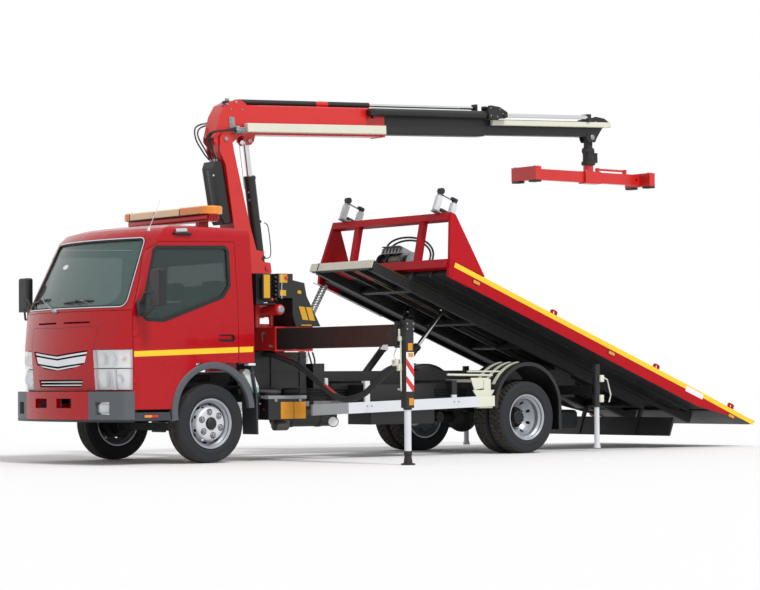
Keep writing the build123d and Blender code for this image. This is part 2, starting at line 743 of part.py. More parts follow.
tank_y, tank_z, tank_radius = 560, 420, 100
with BuildPart() as chassis_boxes:
    bar((ahead(-1090), 680, 400), (ahead(-640), 965, 630))  # tool box
    bar((ahead(-900), rail_outer + 1, 600), (ahead(-820), 685, 625))
    bar((ahead(-2800), 470, 330), (ahead(-1980), 850, 730))
    for x in (-2650, -2150):
        bar((ahead(x - 20), rail_outer + 1, 690), (ahead(x + 20), 475, 730))
    with BuildSketch(Plane(origin=(ahead(-1000), tank_y, tank_z), z_dir=(-1, 0, 0))):
        Circle(tank_radius)
    extrude(amount=700)
    for x in (-1150, -1500):  # tank straps
        with BuildSketch(Plane(origin=(ahead(x), tank_y, tank_z), z_dir=(-1, 0, 0))):
            Circle(tank_radius + 6)
            Circle(tank_radius - 1, mode=Mode.SUBTRACT)
        extrude(amount=50)
        bar((ahead(x - 50), rail_outer + 1, 575), (ahead(x), 470, 590))
        bar((ahead(x - 50), 460, 460), (ahead(x), 468, 590))
    # screen between cab and crane, with its ribs and brackets
    bar((ahead(-1370), 560, 650), (ahead(-545), 590, 1060))
    for z in (700, 860, 1010):
        bar((ahead(-1370), 588, z), (ahead(-545), 598, z + 14))
    for x in (-1300, -950, -640):
        bar((ahead(x), 588, 650), (ahead(x + 18), 602, 1060))
        bar((ahead(x), rail_outer + 1, 700), (ahead(x + 30), 562, 730))
    bar((ahead(-1560), 500, 700), (ahead(-1420), 640, 945))
    bar((ahead(-1510), rail_outer + 1, 720), (ahead(-1470), 502, 750))
chassis_boxes.part.label = "chassis_boxes"
export_step(chassis_boxes.part, "parts/chassis_boxes.step")
print("chassis boxes solids", len(chassis_boxes.part.solids()))

# the side guards rise a little towards the rear
guard_outline = [(-1080, 436), (-1080, 543), (-3415, 606), (-3415, 498)]
with BuildPart() as side_guards:
    for hand in (1, -1):
        low_y, high_y = side_span(hand, 1055, 1085)
        with BuildSketch(axle_side.offset(-low_y)):
            Polygon(*guard_outline, align=None)
        extrude(amount=-(high_y - low_y))
        for x in (-1780, -2900):
            low_y, high_y = side_span(hand, rail_outer + 1, 1056)
            bar((ahead(x - 30), low_y, 745), (ahead(x + 30), high_y, 768))
            low_y, high_y = side_span(hand, 1030, 1056)
            bar((ahead(x - 30), low_y, 500), (ahead(x + 30), high_y, 768))
        # bracket ahead of the rear fender
        low_y, high_y = side_span(hand, 1000, 1056)
        bar((ahead(-3410), low_y, 478), (ahead(-3230), high_y, 600))
        low_y, high_y = side_span(hand, 1005, 1040)
        bar((ahead(-3400), low_y, 600), (ahead(-3310), high_y, 775))
        low_y, high_y = side_span(hand, rail_outer + 1, 1040)
        bar((ahead(-3390), low_y, 745), (ahead(-3320), high_y, 775))
side_guards.part.label = "side_guards"
export_step(side_guards.part, "parts/side_guards.step")

fender_radius, fender_z = 460, 490
with BuildPart() as rear_fenders:
    for hand in (1, -1):
        # the fender's skin, then its deeper outer lip
        for near, far, depth in ((600, 1085, 12), (1060, 1085, 38)):
            low_y, high_y = side_span(hand, near, far)
            with BuildSketch(axle_side.offset(-low_y)):
                with Locations((-wheelbase, fender_z)):
                    Circle(fender_radius)
                    Circle(fender_radius - depth, mode=Mode.SUBTRACT)
                    with Locations((0, -310)):
                        Rectangle(1200, 600, mode=Mode.SUBTRACT)
                with Locations((-wheelbase - fender_radius + depth / 2, 370)):
                    Rectangle(depth, 260)
            extrude(amount=-(high_y - low_y))
        for x in (-380, 380):
            low_y, high_y = side_span(hand, rail_outer + 1, 640)
            bar((ahead(-wheelbase + x - 20), low_y, 745), (ahead(-wheelbase + x + 20), high_y, 768))
rear_fenders.part.label = "rear_fenders"
export_step(rear_fenders.part, "parts/rear_fenders.step")
print("fender solids", len(rear_fenders.part.solids()))

spare_x, spare_z = -5050, 330
with BuildPart() as spare_wheel:
    with BuildSketch(Plane.XY.offset(spare_z - 100)):
        with Locations((ahead(spare_x), 0)):
            Circle(tyre_radius)
            Circle(205, mode=Mode.SUBTRACT)
    extrude(amount=200)
    fillet(spare_wheel.edges().filter_by(GeomType.CIRCLE).group_by(SortBy.RADIUS)[-1], 45)
    with BuildSketch(Plane.XY.offset(spare_z - 20)):
        with Locations((ahead(spare_x), 0)):
            Circle(206)
    extrude(amount=15)
    with BuildSketch(Plane.XY.offset(spare_z - 20)):
        with Locations((ahead(-5120), 0)):
            Circle(28)
    extrude(amount=rail_low + 18 - spare_z + 20)
spare_wheel.part.label = "spare_wheel"
export_step(spare_wheel.part, "parts/spare_wheel.step")

# ---- rear stabiliser legs ----
rear_travel = 260
for side, hand in (("left", 1), ("right", -1)):
    with BuildPart() as rear_leg:
        with BuildSketch(Plane.XY.offset(80)):
            with Locations((ahead(rear_leg_x), hand * rear_leg_y)):
                Circle(28)
        extrude(amount=540)
        with BuildSketch(Plane.XY.offset(35)):
            with Locations((ahead(rear_leg_x), hand * rear_leg_y)):
                Circle(40)
        extrude(amount=50, taper=12)
    rear_leg.part.label = f"rear_{side}_leg"
    export_step(rear_leg.part, f"parts/rear_{side}_leg.step")

# ---- tilt frame, in the bed's own plane ----
tilt_eye_local = (1665, 10)  # where the tilt cylinders' rods push
with BuildPart(bed_plane) as tilt_frame:
    for hand in (1, -1):
        low_y, high_y = side_span(hand, 425, 485)
        bar((-1250, low_y, -25), (2838, high_y, 80))
        low_y, high_y = side_span(hand, 110, 140)
        bar((-1220, low_y, 20), (2838, high_y, 70))
    for x in (-1220, 600, 1300, 2230):
        bar((x - 30, -430, -10), (x + 30, 430, 70))
    bar((2835, -530, -12), (2893, 530, 72))
    bar((1840, -430, 62), (2836, 430, 70))
    for x, y in ((2480, 240), (2480, -240), (2020, 0)):
        bar((x - 110, y - 70, 50), (x + 110, y + 70, 80), Mode.SUBTRACT)
    eye_x, eye_z = tilt_eye_local
    for y in (-280, 280):  # cylinder lugs, a pair of plates each
        for place in (y - 38, y + 38):
            bar((eye_x - 42, place - 6, eye_z - 45), (eye_x + 42, place + 6, 66))
    bar((eye_x - 42, -430, 58), (eye_x + 42, 430, 70))
    with BuildSketch(Plane(bed_plane.from_local_coords((-1220, 0, 25)), z_dir=bed_plane.x_dir)):
        Circle(40)  # slide cylinder
    extrude(amount=2400)
    with BuildSketch(across(bed_plane, 0)):
        Circle(25)
    extrude(amount=430, both=True)
    with BuildSketch(across(bed_plane, 0)):
        Circle(26)
    extrude(amount=372, both=True, mode=Mode.SUBTRACT)
    bar((-1275, -1000, -330), (-1251, 1000, -120))
    for y in (-455, 455):
        bar((-1275, y - 20, -330), (-1240, y + 20, 70))
tilt_frame.part.label = "tilt_frame"
export_step(tilt_frame.part, "parts/tilt_frame.step")
print("tilt frame solids", len(tilt_frame.part.solids()))

# ---- bed ----
deck_top = 205
with BuildPart(bed_plane) as bed_deck:
    bar((bed_tail + 20, -1083, 190), (bed_front, 1083, deck_top))
    for hand in (1, -1):
        low_y, high_y = side_span(hand, 425, 485)
        bar((bed_tail + 350, low_y, 86), (bed_front, high_y, 190))
        low_y, high_y = side_span(hand, 486, 1083)
        bar((-1650, low_y, 122), (bed_front, high_y, 128))
        low_y, high_y = side_span(hand, 760, 790)
        bar((-1650, low_y, 100), (bed_front, high_y, 190))
    for n in range(11):
        x = bed_front - 40 - n * 410
        low_z = 126 if x > bed_tail + 700 else 160
        bar((x - 20, -1083, low_z), (x + 20, 1083, 190))
bed_deck.part.label = "bed_deck"
export_step(bed_deck.part, "parts/bed_deck.step")
print("bed deck solids", len(bed_deck.part.solids()))

ring_x, ring_hole = (878, -721, -1952), 15  # lashing eyes along the bed
side_outline = [(bed_front, 83), (bed_front, 253), (bed_tail, 238), (bed_tail, 222), (-1450, 83)]
with BuildPart(bed_plane) as bed_sides:
    for hand in (1, -1):
        with BuildSketch(across(bed_plane, hand * (bed_half_width - 18))):
            Polygon(*side_outline, align=None)
        extrude(amount=17.5, both=True)
    for x in ring_x:
        for hand in (1, -1):
            with BuildSketch(across(bed_plane, hand * (bed_half_width - 18))):
                with Locations((x, 262)):
                    RectangleRounded(90, 76, 20)
                    with Locations((0, 10)):
                        Circle(ring_hole, mode=Mode.SUBTRACT)
            extrude(amount=8, both=True)
bed_sides.part.label = "bed_sides"
export_step(bed_sides.part, "parts/bed_sides.step")

# the headboard narrows upwards: its gusset plates lean in over the bed
board_base, board_top, top_half = 256, 752, 985
lean = (bed_half_width - 22 - top_half) / (board_top - board_base)
gusset_outline = [(2326, 0), (2396, 0), (2468, 508), (2398, 508), (1907, 12), (1907, 0)]
with BuildPart(bed_plane) as headboard:
    for hand in (1, -1):
        with BuildSketch(across(bed_plane, hand * (bed_half_width - 22))):
            Polygon((2326, 85), (2352, 85), (2396, 262), (2326, 262), align=None)
        extrude(amount=20, both=True)
        leaning = Plane(
            bed_plane.from_local_coords((0, hand * (bed_half_width - 22), board_base)),
            x_dir=bed_plane.x_dir,
            z_dir=-(bed_plane.y_dir + bed_plane.z_dir * (hand * lean)),
        )
        with BuildSketch(leaning):
            Polygon(*gusset_outline, align=None)
        extrude(amount=18, both=True)
    bar((2326, -1078, 170), (2396, 1078, 262))
    bar((2398, -top_half, 674), (2468, top_half, board_top))
    for y in (-550, 550):
        with BuildSketch(across(bed_plane, y)):
            Polygon((2330, 255), (2390, 255), (2460, 680), (2400, 680), align=None)
        extrude(amount=37, both=True)
headboard.part.label = "headboard"
export_step(headboard.part, "parts/headboard.step")
print("headboard solids", len(headboard.part.solids()))

winch_x, drum_z = 2200, deck_top + 155
with BuildPart(bed_plane) as winch:
    bar((winch_x - 120, -290, deck_top + 1), (winch_x + 110, 290, deck_top + 22))
    with BuildSketch(across(bed_plane, -250)):
        with Locations((winch_x, drum_z)):
            Circle(48)
    extrude(amount=-500)
    for y in (-275, -120, 110, 235):  # side plates with rounded tops
        with BuildSketch(across(bed_plane, y)):
            with Locations((winch_x, drum_z)):
                Circle(90)
            with Locations((winch_x, drum_z - 75)):
                Rectangle(180, 150)
        extrude(amount=-22)
    bar((winch_x - 60, -262, drum_z + 70), (winch_x + 60, 100, drum_z + 135))
winch.part.label = "winch"
export_step(winch.part, "parts/winch.step")
print("winch solids", len(winch.part.solids()))

post_y, post_top = 790, 985
with BuildPart(bed_plane) as roller_posts:
    for y in (-post_y, post_y):
        bar((2265, y - 45, board_top + 1), (2530, y + 45, board_top + 14))
        for x in (2300, 2505):
            bar((x - 20, y - 20, board_top + 10), (x + 20, y + 20, post_top))
        bar((2340, y - 30, board_top + 10), (2440, y + 30, board_top + 45))
        rod_start = bed_plane.from_local_coords((2300, y, post_top - 30))
        with BuildSketch(Plane(rod_start, z_dir=bed_plane.x_dir)):
            Circle(8)
        extrude(amount=200)
        with BuildSketch(across(bed_plane, y)):
            with Locations((2505, post_top)):
                Circle(32)
        extrude(amount=26, both=True)
roller_posts.part.label = "roller_posts"
export_step(roller_posts.part, "parts/roller_posts.step")
print("roller post solids", len(roller_posts.part.solids()))

# ---- tilt cylinders ----
barrel_radius, bore_radius, rod_radius = 38, 24, 20
eye_point = bed_plane.from_local_coords((tilt_eye_local[0], 0, tilt_eye_local[1]))
tilt_way = Vector(eye_point.X - ahead(tilt_base[0]), 0, eye_point.Z - tilt_base[1])
tilt_plane = Plane(
    origin=(ahead(tilt_base[0]), 0, tilt_base[1]), x_dir=tilt_way.normalized(), z_dir=(0, -1, 0)
)
with BuildPart() as tilt_barrels:
    for y in (-280, 280):
        foot = Plane(tilt_plane.from_local_coords((0, 0, -y)), x_dir=tilt_plane.x_dir, z_dir=(0, -1, 0))
        for radius, half in ((32, 30), (tilt_pin, 54)):
            with BuildSketch(foot):
                Circle(radius)
            extrude(amount=half, both=True)
        barrel_start = Plane(tilt_plane.from_local_coords((25, 0, -y)), z_dir=tilt_way.normalized())
        with BuildSketch(barrel_start):
            Circle(barrel_radius)
        extrude(amount=640)
        with BuildSketch(barrel_start.offset(610)):  # gland
            Circle(barrel_radius + 6)
        extrude(amount=35)
        with BuildSketch(barrel_start.offset(30)):
            Circle(bore_radius)
        extrude(amount=640, mode=Mode.SUBTRACT)
tilt_barrels.part.label = "tilt_barrels"
export_step(tilt_barrels.part, "parts/tilt_barrels.step")
with BuildPart() as tilt_rods:
    for y in (-280, 280):
        rod_start = Plane(tilt_plane.from_local_coords((510, 0, -y)), z_dir=tilt_way.normalized())
        with BuildSketch(rod_start):
            Circle(rod_radius)
        extrude(amount=tilt_way.length - 510)
        with BuildSketch(Plane(eye_point + Vector(0, y, 0), x_dir=tilt_plane.x_dir, z_dir=(0, -1, 0))):
            Circle(30)
        extrude(amount=26, both=True)
tilt_rods.part.label = "tilt_rods"
export_step(tilt_rods.part, "parts/tilt_rods.step")

# ---- crane base and outriggers ----
tube_x = {1: -920, -1: -1150}  # the left beam's tube is ahead of the right one's
tube_half, tube_end, beam_half_x, beam_half_z = 105, 850, 92, 100
slew_radius, slew_z = 55, 1467
with BuildPart() as crane_base:
    for hand in (1, -1):
        x = ahead(tube_x[hand])
        with BuildSketch(Plane(origin=(x, 0, beam_z), x_dir=(1, 0, 0), z_dir=(0, -1, 0))):
            Rectangle(2 * tube_half, 226)
        extrude(amount=tube_end, both=True)
        for y in (-tube_end, tube_end - 40):  # collar at each mouth
            bar((x - 113, y, beam_z - 121), (x + 113, y + 40, beam_z + 121))
    for hand in (1, -1):
        x = ahead(tube_x[hand])
        with BuildSketch(Plane(origin=(x, 0, beam_z), x_dir=(1, 0, 0), z_dir=(0, -1, 0))):
            Rectangle(2 * beam_half_x + 10, 2 * beam_half_z + 10)
        extrude(amount=tube_end + 1, both=True, mode=Mode.SUBTRACT)
    for hand in (1, -1):
        low_y, high_y = side_span(hand, 340, 390)
        bar((ahead(tube_x[-1] - 100), low_y, 871), (ahead(tube_x[1] + 100), high_y, beam_z - 110))
    bar((ahead(slew_x - 200), -260, beam_z + 112), (ahead(slew_x + 200), 260, beam_z + 160))
    with BuildSketch(Plane.XY.offset(beam_z + 150)):
        with Locations((ahead(slew_x), 0)):
            Circle(150)
    extrude(amount=240)
    with BuildSketch(Plane.XY.offset(slew_z + 75)):
        with Locations((ahead(slew_x), 0)):
            Circle(185)
    extrude(amount=1620 - slew_z - 75)
    # slewing cylinders across the base, joined to the post by their housing
    bar((ahead(slew_x - 185), -110, slew_z - 60), (ahead(slew_x + 185), 110, slew_z + 60))
    for x in (slew_x - 150, slew_x + 150):
        with BuildSketch(Plane(origin=(ahead(x), 0, slew_z), z_dir=(0, 1, 0))):
            Circle(slew_radius)
        extrude(amount=520, both=True)
        for y in (-545, 505):
            with BuildSketch(Plane(origin=(ahead(x), y, slew_z), z_dir=(0, 1, 0))):
                Circle(slew_radius + 7)
            extrude(amount=40)
crane_base.part.label = "crane_base"
export_step(crane_base.part, "parts/crane_base.step")
print("crane base solids", len(crane_base.part.solids()))

# cover behind the controls, the same on both sides
cover_outline = [(-925, 1755), (-1068, 1728), (-1095, 1600), (-1262, 1306), (-963, 1306), (-925, 1420)]
with BuildPart() as crane_controls:
    # valve block of six stacked slices between end plates, a lever on each slice
    for n in range(6):
        z = 1548 + n * 42
        bar((ahead(-738), 705, z), (ahead(-600), 930, z + 34))
        bar((ahead(-700), 928, z + 12), (ahead(-690), 990, z + 22))
        bar((ahead(-712), 985, z + 4), (ahead(-680), 1012, z + 30))
    bar((ahead(-730), 715, 1540), (ahead(-610), 915, 1800))
    for z in (1515, 1800):
        bar((ahead(-748), 695, z), (ahead(-515), 950, z + 14))
    bar((ahead(-602), 700, 1520), (ahead(-515), 950, 1805))
    bar((ahead(-925), 690, 1580), (ahead(-746), 985, 1815))
    bar((ahead(-700), 705, beam_z + 114), (ahead(-650), 745, 1520))
    bar((ahead(-1000), 640, beam_z + 114), (ahead(-960), 700, 1310))
    for hand in (1, -1):
        low_y, high_y = side_span(hand, 560, 980)
        with BuildSketch(axle_side.offset(-low_y)):
            Polygon(*cover_outline, align=None)
        extrude(amount=-(high_y - low_y))
crane_controls.part.label = "crane_controls"
export_step(crane_controls.part, "parts/crane_controls.step")
print("controls solids", len(crane_controls.part.solids()))

leg_travel, beam_travel = 320, 1450
box_x, box_y = 90, 80  # leg box
for side, hand in (("left", 1), ("right", -1)):
    x = ahead(tube_x[hand])
    with BuildPart() as outrigger_beam:
        low_y, high_y = side_span(hand, 620, leg_y - box_y / 2)
        bar((x - beam_half_x, low_y, beam_z - beam_half_z), (x + beam_half_x, high_y, beam_z + beam_half_z))
        low_y, high_y = side_span(hand, leg_y - box_y / 2 - 22, leg_y - box_y / 2 + 2)
        bar((x - beam_half_x - 8, low_y, beam_z - 115), (x + beam_half_x + 8, high_y, beam_z + 125))
        with BuildSketch(Plane.XY.offset(520)):
            with Locations((x, hand * leg_y)):
                Rectangle(box_x, box_y)
                Circle(36, mode=Mode.SUBTRACT)
        extrude(amount=785)
        with BuildSketch(Plane.XY.offset(1305)):
            with Locations((x, hand * leg_y)):
                Rectangle(box_x, box_y)
        extrude(amount=20)
        low_y, high_y = side_span(hand, leg_y - box_y / 2 - 10, leg_y + box_y / 2 + 6)
        bar((x - 51, low_y, 1225), (x + 51, high_y, 1310))
        with BuildSketch(Plane.XY.offset(1200)):
            with Locations((x, hand * leg_y)):
                Circle(36)
        extrude(amount=100, mode=Mode.SUBTRACT)
    outrigger_beam.part.label = f"{side}_outrigger_beam"
    export_step(outrigger_beam.part, f"parts/{side}_outrigger_beam.step")
    with BuildPart() as outrigger_leg:
        with BuildSketch(Plane.XY.offset(30)):
            with Locations((x, hand * leg_y)):
                Circle(32)
        extrude(amount=930)
        for low_z, radius, height in ((0, 66, 16), (16, 42, 60), (95, 40, 30)):
            with BuildSketch(Plane.XY.offset(low_z)):
                with Locations((x, hand * leg_y)):
                    Circle(radius)
            extrude(amount=height, taper=8)
    outrigger_leg.part.label = f"{side}_outrigger_leg"
    export_step(outrigger_leg.part, f"parts/{side}_outrigger_leg.step")

# ---- column ----
column_outline = [
    (-830, 1640), (-880, 1800), (-835, 2310), (-735, 2950), (-650, 3080), (-640, 3240), (-800, 3240),
    (-835, 3080), (-960, 2590), (-1105, 2090), (-1205, 2075), (-1160, 2000), (-1190, 1975),
    (-1275, 1965), (-1290, 1870), (-1180, 1790), (-1180, 1640),
]
# half width of the column by height, seen from behind
column_half = [(125, 1640), (125, 2050), (92, 2950), (71, 3060), (71, 3300)]
with BuildPart() as crane_column:
    with BuildSketch(axle_side):
        Polygon(*column_outline, align=None)
        fillet(vertices().filter_by_position(Axis.Y, 2400, 3250), 25)
    extrude(amount=150, both=True)
    with BuildSketch(Plane.YZ):
        Polygon(*mirrored(column_half), align=None)
    extrude(amount=9000, both=True, mode=Mode.INTERSECT)
    # slot between the lower lugs for the lift cylinder's foot
    bar((ahead(-1500), -63, 1700), (ahead(-1130), 63, 2150), Mode.SUBTRACT)
    with BuildSketch(Plane(origin=(ahead(lift_foot[0]), 0, lift_foot[1]), z_dir=(0, 1, 0))):
        Circle(24)
    extrude(amount=140, both=True)
    with BuildSketch(Plane(origin=(ahead(boom_pivot[0]), 0, boom_pivot[1]), z_dir=(0, 1, 0))):
        Circle(30.5)
    extrude(amount=300, both=True, mode=Mode.SUBTRACT)
    with BuildSketch(Plane.XY.offset(1625)):
        with Locations((ahead(slew_x), 0)):
            Circle(200)
            with PolarLocations(185, 12):
                Circle(14)
    extrude(amount=60)
crane_column.part.label = "crane_column"
export_step(crane_column.part, "parts/crane_column.step")
print("column solids", len(crane_column.part.solids()))

hose_cover_outline = [(-600, 2900), (-625, 2965), (-700, 2968), (-812, 2360), (-735, 2335), (-690, 2400)]
with BuildPart() as hose_cover:
    with BuildSketch(axle_side):
        Polygon(*hose_cover_outline, align=None)
        fillet(vertices(), 8)
    extrude(amount=105, both=True)
hose_cover.part.label = "hose_cover"
export_step(hose_cover.part, "parts/hose_cover.step")

# ---- lift cylinder ----
lift_way = Vector(lift_eye[0] - lift_foot[0], 0, lift_eye[1] - lift_foot[1])
lift_plane = Plane(origin=(ahead(lift_foot[0]), 0, lift_foot[1]), z_dir=lift_way.normalized())
with BuildPart() as lift_barrel:
    with BuildSketch(Plane(origin=(ahead(lift_foot[0]), 0, lift_foot[1]), z_dir=(0, 1, 0))):
        Circle(45)
    extrude(amount=52, both=True)
    with BuildSketch(lift_plane.offset(30)):
        Circle(58)
    extrude(amount=905)
    with BuildSketch(lift_plane.offset(905)):
        Circle(64)
    extrude(amount=30)
    with BuildSketch(lift_plane.offset(90)):
        Circle(42)
    extrude(amount=860, mode=Mode.SUBTRACT)
    with BuildSketch(Plane(origin=(ahead(lift_foot[0]), 0, lift_foot[1]), z_dir=(0, 1, 0))):
        Circle(24.5)
    extrude(amount=60, both=True, mode=Mode.SUBTRACT)
lift_barrel.part.label = "lift_barrel"
export_step(lift_barrel.part, "parts/lift_barrel.step")
with BuildPart() as lift_rod:
    with BuildSketch(lift_plane.offset(480)):
        Circle(32)
    extrude(amount=lift_way.length - 480)
    with BuildSketch(Plane(origin=(ahead(lift_eye[0]), 0, lift_eye[1]), z_dir=(0, 1, 0))):
        Circle(38)
    extrude(amount=44, both=True)
lift_rod.part.label = "lift_rod"
export_step(lift_rod.part, "parts/lift_rod.step")

# ---- boom, in its own plane: x outward, z up, +y to the vehicle's right ----


def boom_tube(x, y, z, length, radius):
    with BuildPart() as made:
        with BuildSketch(Plane(origin=(x, y, z), z_dir=(1, 0, 0))):
            Circle(radius)
        extrude(amount=length)
    return made.part


def box_section(x, z, length, width, height, wall):
    with BuildPart() as made:
        with BuildSketch(Plane(origin=(x, 0, z), x_dir=(0, 1, 0), z_dir=(1, 0, 0))):
            RectangleRounded(width, height, 20)
            RectangleRounded(width - 2 * wall, height - 2 * wall, 12, mode=Mode.SUBTRACT)
        extrude(amount=length)
    return made.part


# side outline of the boom's root, the strip that closes its back, and the lift lug
root_outline = [
    (-225, -20), (-225, 20), (-170, 110), (-95, 235), (21, 345), (93, 379), (155, 402), (215, 398),
    (323, 330), (420, 330), (420, 56), (187, 32), (82, -44), (30, -60), (-170, -60),
]
back_strip = [
    (-222, 25), (-170, 110), (-95, 235), (21, 345), (93, 379),
    (99, 366), (30, 333), (-84, 226), (-158, 102), (-210, 17),
]
top_cylinder, near_cylinder = (50, 390), (-150, 300)  # across and above the pivot
outer_section = box_section(150, 200, 1890, 200, 300, 8)
barrel, bore = boom_tube(290, *top_cylinder, 1660, 30), boom_tube(320, *top_cylinder, 1640, 23)
with BuildPart(boom_plane) as boom_outer:
    add([outer_section, barrel])
    for hand in (1, -1):
        with BuildSketch(across(boom_plane, hand * 95)):
            Polygon(*root_outline, align=None)
        extrude(amount=5, both=True)
        with BuildSketch(across(boom_plane, hand * 62)):
            Polygon((255, 56), (262, -20), (378, -20), (400, 56), align=None)
            with Locations((320, -8)):
                Circle(46)
        extrude(amount=8, both=True)
    with BuildSketch(across(boom_plane, 0)):
        Polygon(*back_strip, align=None)
    extrude(amount=98, both=True)
    with BuildSketch(across(boom_plane, 0)):
        Circle(30)
    extrude(amount=106, both=True)
    bar((180, -99, 331), (420, 99, 348))
    for x in (300, 1050, 1800):  # clamps of the first extension cylinder
        bar((x - 15, 8, 345), (x + 15, 92, 364))
    with BuildSketch(across(boom_plane, 50)):
        Polygon((1262, 346), (1305, 420), (1350, 420), (1395, 346), align=None)
    extrude(amount=9, both=True)
    add(bore, mode=Mode.SUBTRACT)
    bar((2010, -106, 44), (2040, 106, 60))
boom_outer.part.label = "boom_outer"
export_step(boom_outer.part, "parts/boom_outer.step")
print("boom outer solids", len(boom_outer.part.solids()))

with BuildPart(boom_plane) as boom_side_tube:
    bar((240, -170, 70), (2010, -101, 160))
boom_side_tube.part.label = "boom_side_tube"
export_step(boom_side_tube.part, "parts/boom_side_tube.step")

# head bracket that carries the second extension cylinder beside the middle section
head_outline = [(3400, 256), (3400, 396), (3440, 400), (3560, 385), (3668, 330), (3672, 275), (3620, 258)]
middle_section = box_section(1750, 200, 1680, 170, 250, 8)
rod = boom_tube(1700, *top_cylinder, 1700, 19)
barrel, bore = boom_tube(1850, *near_cylinder, 1560, 43), boom_tube(1880, *near_cylinder, 1560, 31)
with BuildPart(boom_plane) as boom_middle:
    add([middle_section, rod, barrel])
    bar((3400, 10, 322), (3430, 80, 430))
    for y in (-91, -201):
        with BuildSketch(across(boom_plane, y)):
            Polygon(*head_outline, align=None)
        extrude(amount=7, both=True)
    bar((3400, -200, 258), (3425, -86, 345))
    bar((3400, -205, 372), (3480, -88, 384))
    with BuildSketch(across(boom_plane, -212)):
        with Locations((3629, 300)):
            Circle(26)
    extrude(amount=6, both=True)
    add(bore, mode=Mode.SUBTRACT)
boom_middle.part.label = "boom_middle"
export_step(boom_middle.part, "parts/boom_middle.step")
print("boom middle solids", len(boom_middle.part.solids()))

hook_pin = (5040, 85)
neck_outline = [
    (4900, 262), (4940, 190), (4975, 60), (4995, 30), (5085, 30), (5105, 70), (5199, 188), (5262, 205),
    (5303, 262), (5240, 300), (5108, 319), (5000, 290),
]
inner_section = box_section(3200, 178, 1750, 140, 172, 8)
rod = boom_tube(3240, *near_cylinder, 1660, 22)
with BuildPart(boom_plane) as boom_inner:
    add([inner_section, rod])
    bar((4905, -70, 92), (4950, 70, 264))
    for hand in (1, -1):
        with BuildSketch(across(boom_plane, hand * 62)):
            Polygon(*neck_outline, align=None)
        extrude(amount=8, both=True)
    bar((4950, -60, 262), (5240, 60, 288))
    bar((4890, -175, 262), (4940, -60, 335))
    bar((4990, -105.5, 195), (5080, -60, 245))
boom_inner.part.label = "boom_inner"
export_step(boom_inner.part, "parts/boom_inner.step")
print("boom inner solids", len(boom_inner.part.solids()))

with BuildPart(boom_plane) as boom_inner_tube:
    bar((3500, -146, 191), (5262, -106, 249))
boom_inner_tube.part.label = "boom_inner_tube"
export_step(boom_inner_tube.part, "parts/boom_inner_tube.step")

# ---- hook link and spreader ----
pin_point = boom_plane.from_local_coords((hook_pin[0], 0, hook_pin[1]))
link_low, spreader_z = pin_point.Z - 310, 3037
with BuildPart() as hook_link:
    with BuildSketch(Plane(origin=pin_point, z_dir=(0, 1, 0))):
        Circle(42)
    extrude(amount=48, both=True)
    bar((pin_point.X - 34, -36, pin_point.Z - 130), (pin_point.X + 34, 36, pin_point.Z))
    with BuildSketch(Plane(origin=(pin_point.X, 0, pin_point.Z - 150), z_dir=(1, 0, 0))):
        Circle(40)
    extrude(amount=62, both=True)
    for low_z, radius, height in ((link_low, 78, 40), (link_low + 40, 62, 90), (link_low + 125, 46, 30)):
        with BuildSketch(Plane.XY.offset(low_z)):
            with Locations((pin_point.X, 0)):
                Circle(radius)
        extrude(amount=height)
    with BuildSketch(Plane.XY.offset(link_low + 30)):
        with Locations((pin_point.X - 95, 0)):
            Circle(36)
    extrude(amount=110)
    bar((pin_point.X - 100, -28, link_low + 40), (pin_point.X, 28, link_low + 100))
hook_link.part.label = "hook_link"
export_step(hook_link.part, "parts/hook_link.step")
print("hook link solids", len(hook_link.part.solids()))

front_bar, rear_bar = 930, -805  # the spreader's cross bars, from the hook pin
with BuildPart() as spreader:
    x = pin_point.X
    bar((x + rear_bar, -35, spreader_z - 61), (x + front_bar, 35, spreader_z + 61))
    for place in (rear_bar, front_bar):
        bar((x + place - 42, -200, spreader_z - 76), (x + place + 42, 200, spreader_z + 74))
        bar((x + place - 42, -206, spreader_z - 76), (x + place + 42, -198, spreader_z + 74))
    bar((x - 140, -60, spreader_z - 72), (x + 95, 60, spreader_z + 66))
    with BuildSketch(Plane.XY.offset(spreader_z + 60)):
        with Locations((x, 0)):
            Circle(58)
    extrude(amount=link_low - 6 - spreader_z - 60)
    # tie rod above the rear half, on two lugs
    with BuildSketch(Plane(origin=(x - 130, 0, spreader_z + 96), z_dir=(-1, 0, 0))):
        Circle(13)
    extrude(amount=430)
    for place in (-140, -560):
        bar((x + place - 16, -20, spreader_z + 55), (x + place + 16, 20, spreader_z + 112))
    with BuildSketch(Plane(origin=(0, 0, spreader_z), x_dir=(1, 0, 0), z_dir=(0, 1, 0))):
        with Locations((x + rear_bar + 90, 0), (x + front_bar - 90, 0)):
            Circle(16)
    extrude(amount=100, both=True, mode=Mode.SUBTRACT)
spreader.part.label = "spreader"
export_step(spreader.part, "parts/spreader.step")
print("spreader solids", len(spreader.part.solids()), "pin", pin_point)
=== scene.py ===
import json
import math

import bmesh
import bpy
import numpy as np
from mathutils import Matrix, Vector
from mathutils.bvhtree import BVHTree

